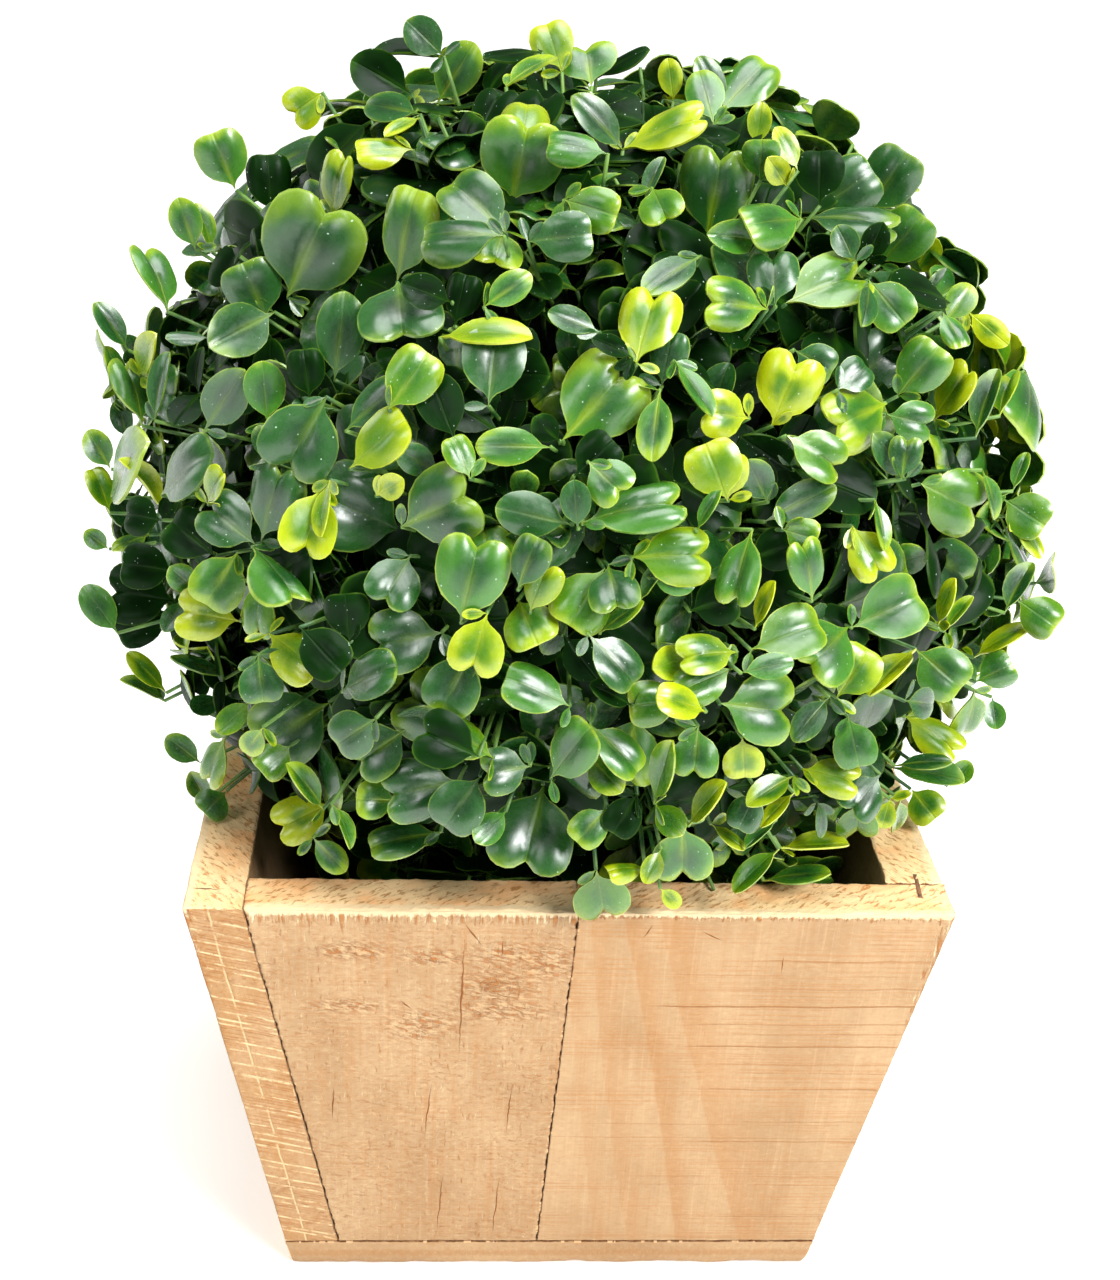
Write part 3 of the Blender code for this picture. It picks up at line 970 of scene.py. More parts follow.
class TOPIARY_OT_pot(bpy.types.Operator):
    """Makes the pot's boards: two planks to a wall, and the base board"""

    bl_idname = "topiary.pot"
    bl_label = "Pot boards"

    def execute(self, context):
        settings = context.scene.topiary_pot
        planks = {
            f"{wall}_plank_{side}": self.plank_corners(turn, hand)
            for turn, wall in enumerate(WALLS)
            for hand, side in enumerate(("left", "right"))
        }
        end_cracks = []
        for node, u1, w1, u2, w2, width in rows_of(END_CRACKS):
            ends = [inside_corners(planks[node], u, 1.0, w) for u, w in ((u1, w1), (u2, w2))]
            end_cracks.append((*(own_place(node, planks[node], end) for end in ends), width * MM))
        cut_end = cut_end_pine(settings, end_cracks)
        scored = sawn_pine("pine_scored_edge", settings)
        finishes = {
            side: sawn_pine(name, settings, self.marks_on(planks, side))
            for side, name in (("left", "pine_torn_sawn"), ("right", "pine_band_sawn"))
        }
        for node, corners in planks.items():
            side = node.rpartition("_")[2]
            joints = ("left", "right", "foot") if side == "left" else ("left", "inner", "foot")
            frayed = (0.5 if side == "left" else 0.15) * MM
            board = Board(node, corners, settings, joints, rim=1.0, frayed=frayed)
            materials = (finishes[side], cut_end, scored)
            piece_from(board.mesh(), f"{node}_sawn", materials, (node,))
        outer = [wall_planes(turn)[0] for turn in range(4)]
        faces = (level(0.0), level(BASE_BOARD))
        corners = corners_of((outer[2], outer[0]), (outer[3], outer[1]), faces)
        board = Board("base_board", corners, settings, ("top",), relief=0.0)
        board.wear *= 2.0
        planed = sawn_pine("pine_planed", settings)
        piece_from(
            board.mesh(), "base_board_sawn", (planed, cut_end, planed), ("base_board",)
        )
        self.staple()
        return {"FINISHED"}

    def staple(self):
        """The crown of a staple sunk flush into the rim of the right wall."""
        bm = bmesh.new()
        low, high = Vector(STAPLE_ENDS[0]), Vector(STAPLE_ENDS[1])
        run = high - low
        turn = run.to_track_quat("Y", "Z").to_matrix().to_4x4()
        size = Matrix.Diagonal((STAPLE_WIDE, run.length, STAPLE_THICK, 1.0))
        place = Matrix.Translation((low + high) / 2)
        bmesh.ops.create_cube(bm, size=1.0, matrix=place @ turn @ size)
        bmesh.ops.bevel(
            bm, geom=bm.edges[:], offset=0.12 * MM, segments=2, affect="EDGES", profile=0.5
        )
        piece_from(mesh_of(bm, "rim_staple"), "rim_staple", (rusted_steel(),))

    def marks_on(self, planks, side):
        """The knots, cracks, tears, bands and bites on the planks of a side, in their own places."""

        def at(node, across, along):
            point = inside_corners(planks[node], across, along, 1.0)
            return own_place(node, planks[node], point)

        marks = {
            "knots": [
                (node, at(node, u, v), half * MM, 0.8 * half * MM)
                for node, u, v, half in rows_of(KNOTS)
            ],
            "cracks": [
                (node, at(node, *ends[:2]), at(node, *ends[2:]), width * MM)
                for node, *ends, width in rows_of(CRACKS)
            ],
            "tears": [
                (node, at(node, u, v), half_across * MM, half_along * MM)
                for node, u, v, half_across, half_along in rows_of(TEARS)
            ],
            "bands": [
                (node, at(node, foot, 0.0), at(node, middle, 0.5), at(node, rim, 1.0), dark, fade * MM)
                for node, foot, middle, rim, dark, fade in rows_of(BANDS)
            ],
            "bites": [(node, at(node, u, v), dark) for node, v, u, dark in rows_of(BITES)],
        }
        return {
            kind: [mark[1:] for mark in listed if mark[0].endswith(side)]
            for kind, listed in marks.items()
        }

    def plank_corners(self, turn, right_hand):
        """The corners of one of a wall's two planks, a gap away from its neighbours."""
        outer, inner = wall_planes(turn)
        seam = seam_plane(turn)
        if right_hand:
            sides = (shifted(seam, GAP / 2), wall_planes(turn + 1)[0])
        else:
            left_inner = wall_planes(turn - 1)[1]
            sides = (shifted((-left_inner[0], -left_inner[1]), GAP), shifted(seam, -GAP / 2))
        return corners_of(sides, (level(BASE_BOARD + GAP), level(HEIGHT)), (inner, outer))


# ---------------- camera

CAMERA_PLACE = Vector((-0.0253, -0.3914, 0.3031))
CAMERA_PITCH = math.radians(24.68)
CAMERA_YAW = math.radians(3.69)
CAMERA_ROLL = math.radians(2.50)
FRAME_WIDE, FRAME_HIGH = 1120, 1280
FOCAL_PIXELS = 2000.0
SIGHT_CELL = 8
MOST_MOVED = 6 * MM


def camera_axes():
    """Which ways the camera's right, up and forward point."""
    forward = Vector(
        (
            math.sin(CAMERA_YAW) * math.cos(CAMERA_PITCH),
            math.cos(CAMERA_YAW) * math.cos(CAMERA_PITCH),
            -math.sin(CAMERA_PITCH),
        )
    )
    right = Vector((math.cos(CAMERA_YAW), -math.sin(CAMERA_YAW), 0))
    up = right.cross(forward)
    turned_right = right * math.cos(CAMERA_ROLL) + up * math.sin(CAMERA_ROLL)
    turned_up = up * math.cos(CAMERA_ROLL) - right * math.sin(CAMERA_ROLL)
    return turned_right, turned_up, forward


def sight(pixel):
    """Direction from the camera through a pixel of its frame."""
    right, up, forward = camera_axes()
    across = (pixel[0] - FRAME_WIDE / 2) / FOCAL_PIXELS
    rise = (FRAME_HIGH / 2 - pixel[1]) / FOCAL_PIXELS
    return (forward + right * across + up * rise).normalized()


def on_ball(pixel, radius):
    """Where a line of sight meets a ball round the foliage's centre, or comes nearest to it."""
    way = sight(pixel)
    to_centre = BALL_CENTRE - CAMERA_PLACE
    nearest = to_centre.dot(way)
    passed_by = to_centre.length_squared - nearest**2
    return CAMERA_PLACE + way * (nearest - math.sqrt(max(radius**2 - passed_by, 0.0)))


class SightGrid:
    """How near the front leaves are to the camera, cell by cell of its frame."""

    def __init__(self):
        self.nearest = np.full((FRAME_HIGH // SIGHT_CELL, FRAME_WIDE // SIGHT_CELL), np.inf)
        self.axes = [np.array(axis) for axis in camera_axes()]

    def cells(self, points):
        """The row, column and depth of each point as the camera sees it."""
        right, up, forward = self.axes
        away = np.asarray(points) - np.array(CAMERA_PLACE)
        depth = away @ forward
        column = (FRAME_WIDE / 2 + FOCAL_PIXELS * (away @ right) / depth) // SIGHT_CELL
        row = (FRAME_HIGH / 2 - FOCAL_PIXELS * (away @ up) / depth) // SIGHT_CELL
        row = np.clip(row, 0, self.nearest.shape[0] - 1).astype(int)
        column = np.clip(column, 0, self.nearest.shape[1] - 1).astype(int)
        return row, column, depth

    def mark(self, points):
        """Notes that a front leaf has these points."""
        row, column, depth = self.cells(points)
        np.minimum.at(self.nearest, (row, column), depth)

    def share_before(self, points, margin=0.3 * MM):
        """How much of these points is not well behind the front leaves."""
        row, column, depth = self.cells(points)
        marks = self.nearest[row, column]
        return float(np.mean(np.isfinite(marks) & (depth < marks + margin)))

    def way_clear(self, points, margin=0.4 * MM):
        """The share of its distance by which a leaf moves so as not to cut through those placed."""
        row, column, depth = self.cells(points)
        marks = self.nearest[row, column]
        behind = (depth - marks)[np.isfinite(marks)]
        if not len(behind) or behind.min() > margin or behind.max() < -margin:
            return 0.0
        forward, back = behind.max() + margin, margin - behind.min()
        moved = -forward if forward < back or behind.mean() < 0 else back
        return max(min(moved, MOST_MOVED), -MOST_MOVED) / float(depth.mean())


# ---------------- foliage


def mouth_half(z):
    """Half the width inside the pot at this height."""
    outside = BASE_HALF + (TOP_HALF - BASE_HALF) * z / HEIGHT
    return outside - BOARD / math.cos(math.atan2(TOP_HALF - BASE_HALF, HEIGHT))


def is_free(point, clearance=POT_CLEARANCE):
    """True where foliage may be: inside the pot, or above the slope that its rim lifts leaves to."""
    across = max(abs(point[0]), abs(point[1]))
    if point[2] <= HEIGHT and across < mouth_half(point[2]) - clearance:
        return point[2] > FILLER_TOP + clearance
    past_edge = across - (mouth_half(HEIGHT) - clearance)
    return point[2] > HEIGHT + clearance + RIM_LIFT * max(past_edge, 0)


def reach(direction, radius=BALL_RADIUS, steps=12):
    """How far the ball goes this way: its radius, or less where the pot presses it in."""
    if is_free(BALL_CENTRE + direction * radius):
        return radius
    inside, outside = 0.0, radius
    for _ in range(steps):
        middle = (inside + outside) / 2
        if is_free(BALL_CENTRE + direction * middle):
            inside = middle
        else:
            outside = middle
    return inside


def random_vector(rng):
    return Vector((rng.gauss(0, 1), rng.gauss(0, 1), rng.gauss(0, 1)))


def even_directions(count, jitter, rng):
    """Directions spread evenly over the ball by the golden angle, each a little off its place."""
    golden = math.pi * (3 - math.sqrt(5))
    for i in range(count):
        z = 1 - (2 * i + 1) / count
        flat = math.sqrt(1 - z * z)
        spread = random_vector(rng) * jitter
        turn = golden * i
        yield (Vector((flat * math.cos(turn), flat * math.sin(turn), z)) + spread).normalized()


def stray_direction(turn, rise):
    """A direction from its turn about the upright and its rise, in degrees."""
    turn, rise = math.radians(turn), math.radians(rise)
    flat = math.cos(rise)
    return Vector((flat * math.cos(turn), flat * math.sin(turn), math.sin(rise)))


def leaf_axes(direction, outward):
    """Axes of a leaf whose X runs along the direction, with its top to the outside of the ball."""
    side = outward.cross(direction).normalized()
    return np.array([direction, side, direction.cross(side)])


class Template:
    """A small mesh to be copied many times: points, faces and, for a leaf, its place on the map."""

    def __init__(self, bm, map_points=None):
        bm.verts.index_update()
        self.points = np.array([vert.co for vert in bm.verts])
        self.loops = np.array([v.index for face in bm.faces for v in face.verts])
        self.sides = np.array([len(face.verts) for face in bm.faces])
        self.map_points = map_points
        bm.free()


def disc_of(square):
    """A point of the square grid moved onto the round disc, with the rows closer at the tip."""
    s, t = 1 - 2 * ((1 - square.x) / 2) ** 1.15, square.y
    return s * math.sqrt(1 - t * t / 2), t * math.sqrt(1 - s * s / 2)


# Outlines of leaves one unit long and one wide. Each point has its angle about the blade's middle,
# from 0 at the tip to 180 at the root, its place along the leaf and its distance from the midrib.
HEART_EDGE = (
    (0, 0.855, 0.0),
    (10, 0.895, 0.045),
    (20, 0.965, 0.115),
    (34, 1.0, 0.225),
    (50, 0.975, 0.36),
    (66, 0.885, 0.46),
    (84, 0.745, 0.50),
    (102, 0.57, 0.495),
    (120, 0.405, 0.435),
    (136, 0.275, 0.325),
    (152, 0.19, 0.165),
    (166, 0.135, 0.042),
    (180, 0.0, 0.012),
)
BROAD_EDGE = (
    (0, 0.965, 0.0),
    (12, 0.97, 0.09),
    (26, 0.985, 0.20),
    (42, 0.965, 0.325),
    (60, 0.895, 0.435),
    (80, 0.735, 0.50),
    (100, 0.545, 0.50),
    (120, 0.385, 0.435),
    (136, 0.265, 0.325),
    (152, 0.185, 0.165),
    (166, 0.135, 0.042),
    (180, 0.0, 0.012),
)
SPOON_EDGE = (
    (0, 1.0, 0.0),
    (20, 0.985, 0.14),
    (40, 0.93, 0.28),
    (60, 0.83, 0.41),
    (80, 0.68, 0.49),
    (95, 0.55, 0.50),
    (115, 0.38, 0.44),
    (135, 0.26, 0.31),
    (152, 0.18, 0.165),
    (166, 0.125, 0.050),
    (180, 0.0, 0.015),
)
# Where along a leaf the middle of its blade lies
BLADE_MIDDLE = 0.56
# Where the tops of the lobes lie beside the midrib and along it, and how wide and long they are
LOBE_ASIDE, LOBE_WIDE = 0.26, 0.20
LOBE_AHEAD, LOBE_LONG = 0.68, 0.30
# How wide the crease along the midrib is, and between which places along the leaf it deepens
CREASE_WIDE = 0.11
CREASE_DEEPENS = (0.30, 0.80)
EDGE_TURNS = (0.2, 0.7)
# Leaf shapes: outline, cells along and across, height of the two lobes, depth of the crease along
# the midrib, how far the edge turns down, and width for a length of one
LEAF_SHAPES = {
    "heart": (HEART_EDGE, (5, 6), 0.055, 0.040, 0.06, 0.95),
    "broad": (BROAD_EDGE, (5, 6), 0.036, 0.024, 0.07, 0.88),
    "spoon": (SPOON_EDGE, (5, 4), 0.0, 0.035, 0.04, 0.64),
    "small": (SPOON_EDGE, (4, 4), 0.0, 0.030, 0.03, 0.64),
}


def leaf_template(shape, thickness, finer=0):
    """A moulded leaf one unit long and one wide, root at the origin, tip along +X, top towards +Z.

    It starts as a square grid with a thickness, which is drawn onto a disc and then onto the outline
    of a leaf: a narrow stalk that swells to the blade, with a cleft at the tip between two domed
    lobes, or rounded like a spoon.
    """
    edge, cells, dome, crease, turned_down, _ = LEAF_SHAPES[shape]
    angles, along, across = zip(*edge)
    bm = bmesh.new()
    cells = [number + finer for number in cells]
    bmesh.ops.create_grid(bm, x_segments=cells[0], y_segments=cells[1], size=1.0)
    bmesh.ops.solidify(bm, geom=bm.faces[:], thickness=thickness)
    bmesh.ops.recalc_face_normals(bm, faces=bm.faces)
    middle = sum(vert.co.z for vert in bm.verts) / len(bm.verts)
    disc = np.array([disc_of(vert.co) for vert in bm.verts])
    for vert, (x, y) in zip(bm.verts, disc):
        rim = min(math.hypot(x, y), 1.0)
        angle = math.degrees(math.atan2(abs(y), x))
        way = BLADE_MIDDLE + rim * (float(np.interp(angle, angles, along)) - BLADE_MIDDLE)
        side = rim * float(np.interp(angle, angles, across))
        aside, ahead = (side - LOBE_ASIDE) / LOBE_WIDE, (way - LOBE_AHEAD) / LOBE_LONG
        lift = dome * math.exp(-(aside**2) - ahead**2)
        lift -= turned_down * rim**4 * smoothstep(*EDGE_TURNS, way)
        lift -= crease * math.exp(-((side / CREASE_WIDE) ** 2)) * smoothstep(*CREASE_DEEPENS, way)
        vert.co = (way, math.copysign(side, y), lift + (vert.co.z - middle))
    return Template(bm, disc)


# A joined mesh is split before it has more triangles than this.
MOST_TRIANGLES = 170_000


class LeafPile:
    """Copies of templates, joined into one mesh."""

    def __init__(self):
        self.points = []
        self.loops = []
        self.sides = []
        self.map_points = []
        self.starts = []
        self.count = 0

    def add(self, template, points, tile=None):
        self.starts.append(self.count)
        self.points.append(points)
        self.loops.append(template.loops + self.count)
        self.sides.append(template.sides)
        self.count += len(points)
        if tile is not None:
            column, row = tile % MAP_TILES, tile // MAP_TILES
            spot = template.map_points * TILE_FILL + (column + 0.5, row + 0.5)
            self.map_points.append((spot / MAP_TILES)[template.loops])

    def split(self, most):
        """This pile as piles of at most so many triangles."""
        piles = [LeafPile()]
        triangles = 0
        for index, points in enumerate(self.points):
            triangles += int((self.sides[index] - 2).sum())
            if triangles > most:
                piles.append(LeafPile())
                triangles = int((self.sides[index] - 2).sum())
            pile = piles[-1]
            pile.points.append(points)
            pile.loops.append(self.loops[index] - self.starts[index] + pile.count)
            pile.sides.append(self.sides[index])
            pile.count += len(points)
            if self.map_points:
                pile.map_points.append(self.map_points[index])
        return piles

    def mesh(self, name, sharp_angle=None):
        points = np.concatenate(self.points)
        loops = np.concatenate(self.loops)
        sides = np.concatenate(self.sides)
        mesh = bpy.data.meshes.new(name)
        mesh.vertices.add(len(points))
        mesh.vertices.foreach_set("co", points.ravel())
        mesh.loops.add(len(loops))
        mesh.loops.foreach_set("vertex_index", loops)
        mesh.polygons.add(len(sides))
        mesh.polygons.foreach_set("loop_start", np.concatenate([[0], np.cumsum(sides)[:-1]]))
        if self.map_points:
            layer = mesh.uv_layers.new(name=LEAF_MAP)
            layer.uv.foreach_set("vector", np.concatenate(self.map_points).ravel())
        mesh.update(calc_edges=True)
        mesh.validate()
        mesh.shade_smooth()
        if sharp_angle:
            mesh.set_sharp_from_angle(angle=sharp_angle)
        return mesh


# Kinds of moulding, dealt out by sprig, and the shade kind, painted shade for leaves deep in the ball:
# centre, body, edge and margin colours, and how far the lime of the edge runs into the leaf
LEAF_KINDS = {
    "shade": ("#051A04", "#0B2A06", "#28500C", "#46661C", 0.05),
    "deep": ("#0E3A12", "#22561C", "#6A8C0E", "#90AC3C", 0.24),
    "green": ("#1A4C1A", "#3E781C", "#8AA80C", "#ACC242", 0.38),
    "fresh": ("#266010", "#528206", "#94AC04", "#BCCB40", 0.50),
    "lime": ("#447400", "#7E9A00", "#AABA00", "#CCD63C", 0.72),
}


def leaf_plastic(kind):
    """Moulded polyethylene leaf: deep green with a lime edge sprayed on, a pale thin rim and a soft
    satin shine that breaks into small highlights."""
    centre, body, edge, margin, spread = LEAF_KINDS[kind]
    shader = Shader(f"moulded_leaf_{kind}")
    spot = shader.add("ShaderNodeUVMap", uv_map=LEAF_MAP)
    scaled = shader.vectors("SCALE", spot, float(MAP_TILES))
    tile = shader.vectors("FLOOR", scaled)
    local = shader.vectors("FRACTION", scaled)
    disc = shader.vectors("SUBTRACT", local, (0.5, 0.5, 0.0))
    disc = shader.vectors("SCALE", disc, 1 / TILE_FILL)
    radius = shader.vectors("LENGTH", disc, out="Value")
    length_way, width_way = (
        shader.add("ShaderNodeSeparateXYZ", out=axis, inputs={0: disc}) for axis in (0, 1)
    )
    chance = shader.add(
        "ShaderNodeTexWhiteNoise", out="Value", noise_dimensions="2D", inputs={"Vector": tile}
    )
    blotch = shader.add("ShaderNodeTexNoise", inputs={"Vector": scaled, "Scale": 2.6, "Detail": 2.0})
    uneven = shader.times_plus(blotch, 0.9, -0.45)
    tipward = shader.times_plus(length_way, 0.30, shader.plus(radius, uneven))
    dose = shader.times_plus(chance, 0.56, spread - 0.28)
    share = shader.less(tipward, shader.less(1.15, dose))
    body_share = shader.ramp(shader.plus(radius, uneven), 0.1, 0.95)
    colour = shader.blend(body_share, linear(centre), linear(body))
    colour = shader.blend(shader.ramp(share, 0.0, 0.65), colour, linear(edge))
    # The spray gathers along the midrib, most of it by the stalk.
    midrib = shader.ramp(shader.size(width_way), 0.02, 0.26, 1.0, 0.0)
    stalkward = shader.ramp(length_way, 0.55, -0.75)
    gathered = shader.times(midrib, shader.times(stalkward, chance))
    colour = shader.blend(shader.times(gathered, 0.8), colour, linear(edge))
    line = shader.ramp(shader.size(width_way), 0.0, 0.035, 0.20, 0.0)
    crease = shader.ramp(shader.size(width_way), 0.0, 0.10, 0.8, 0.0)
    colour = shader.blend(line, colour, linear(edge))
    rim = shader.times(shader.ramp(radius, 0.945, 0.995), shader.ramp(blotch, 0.34, 0.64, 0.12, 0.75))
    colour = shader.blend(rim, colour, linear(margin))
    # Specks of dust and flash in the moulding, about 0.3 mm across
    specks = shader.add(
        "ShaderNodeTexVoronoi", out="Distance", inputs={"Vector": scaled, "Scale": 8.0}
    )
    colour = shader.tint(colour, shader.ramp(specks, 0.04, 0.09, 0.75, 0.0), "#C9DDD0")
    rough = shader.times_plus(blotch, 0.30, 0.20)
    mottle = shader.add("ShaderNodeTexNoise", inputs={"Vector": scaled, "Scale": 11.0, "Detail": 3.0})
    height = shader.times_plus(mottle, 0.16, shader.less(blotch, crease))
    # The shade kind is painted shade; it also shines less.
    shaded = kind == "shade"
    return shader.finish(
        Base_Color=colour,
        Roughness=rough,
        IOR=1.42,
        Specular_IOR_Level=0.12 if shaded else 0.5,
        Specular_Tint=linear("#F6FFFC"),
        Coat_Weight=0.0 if shaded else 1.0,
        Coat_Roughness=shader.ramp(mottle, 0.35, 0.65, 0.22, 0.34),
        Coat_IOR=1.5,
        Normal=shader.bumped(height, 0.5 * MM, 0.38),
    )


def stem_plastic():
    """Moulded polyethylene stems: mid green, with a dull shine and a faint grain."""
    look = {"Roughness": 0.42, "IOR": 1.5}
    return grained("moulded_stem", "#28561F", "#6E963E", 0.15, 0.2 * MM, 0.3, **look)


def core_painted_shade():
    """The lattice ball inside: the same plastic, painted nearly black as the shade of the leaves over
    it.
    """
    look = {"Roughness": 0.8, "IOR": 1.5}
    return grained("lattice_painted_shade", "#040A05", "#0C1C10", 0.2, 0.6 * MM, 0.5, **look)


class Sprig:
    """Where a sprig starts and ends, and which way it grows."""

    def __init__(self, way, depth, share, lean, rng):
        self.way = way
        self.start = BALL_CENTRE + way * reach(way) * depth
        end = BALL_CENTRE + way * (reach(way) * share)
        tip = random_vector(rng)
        tip -= way * tip.dot(way)
        self.end = end + tip * lean * (end - self.start).length
        self.out = (self.end - self.start).normalized()
        self.across = self.out.orthogonal().normalized()
        self.across.rotate(Matrix.Rotation(rng.uniform(0, math.tau), 3, self.out))


# Pairs of leaves down a sprig: distance from its end, turned or not, their size, how far they rise,
# and the chance of each leaf being a heart or broad
OUTER_TIERS = (
    (0.0, False, 1.00, (0.00, 0.60), 0.45, 0.25),
    (5.0 * MM, True, 0.80, (0.20, 0.80), 0.20, 0.15),
    (10.0 * MM, False, 0.68, (0.25, 0.95), 0.10, 0.10),
    (15.0 * MM, True, 0.56, (0.30, 1.00), 0.00, 0.00),
)
INNER_TIERS = (
    (0.0, False, 0.70, (0.20, 1.00), 0.10, 0.10),
    (5.5 * MM, True, 0.62, (0.30, 1.00), 0.00, 0.00),
)
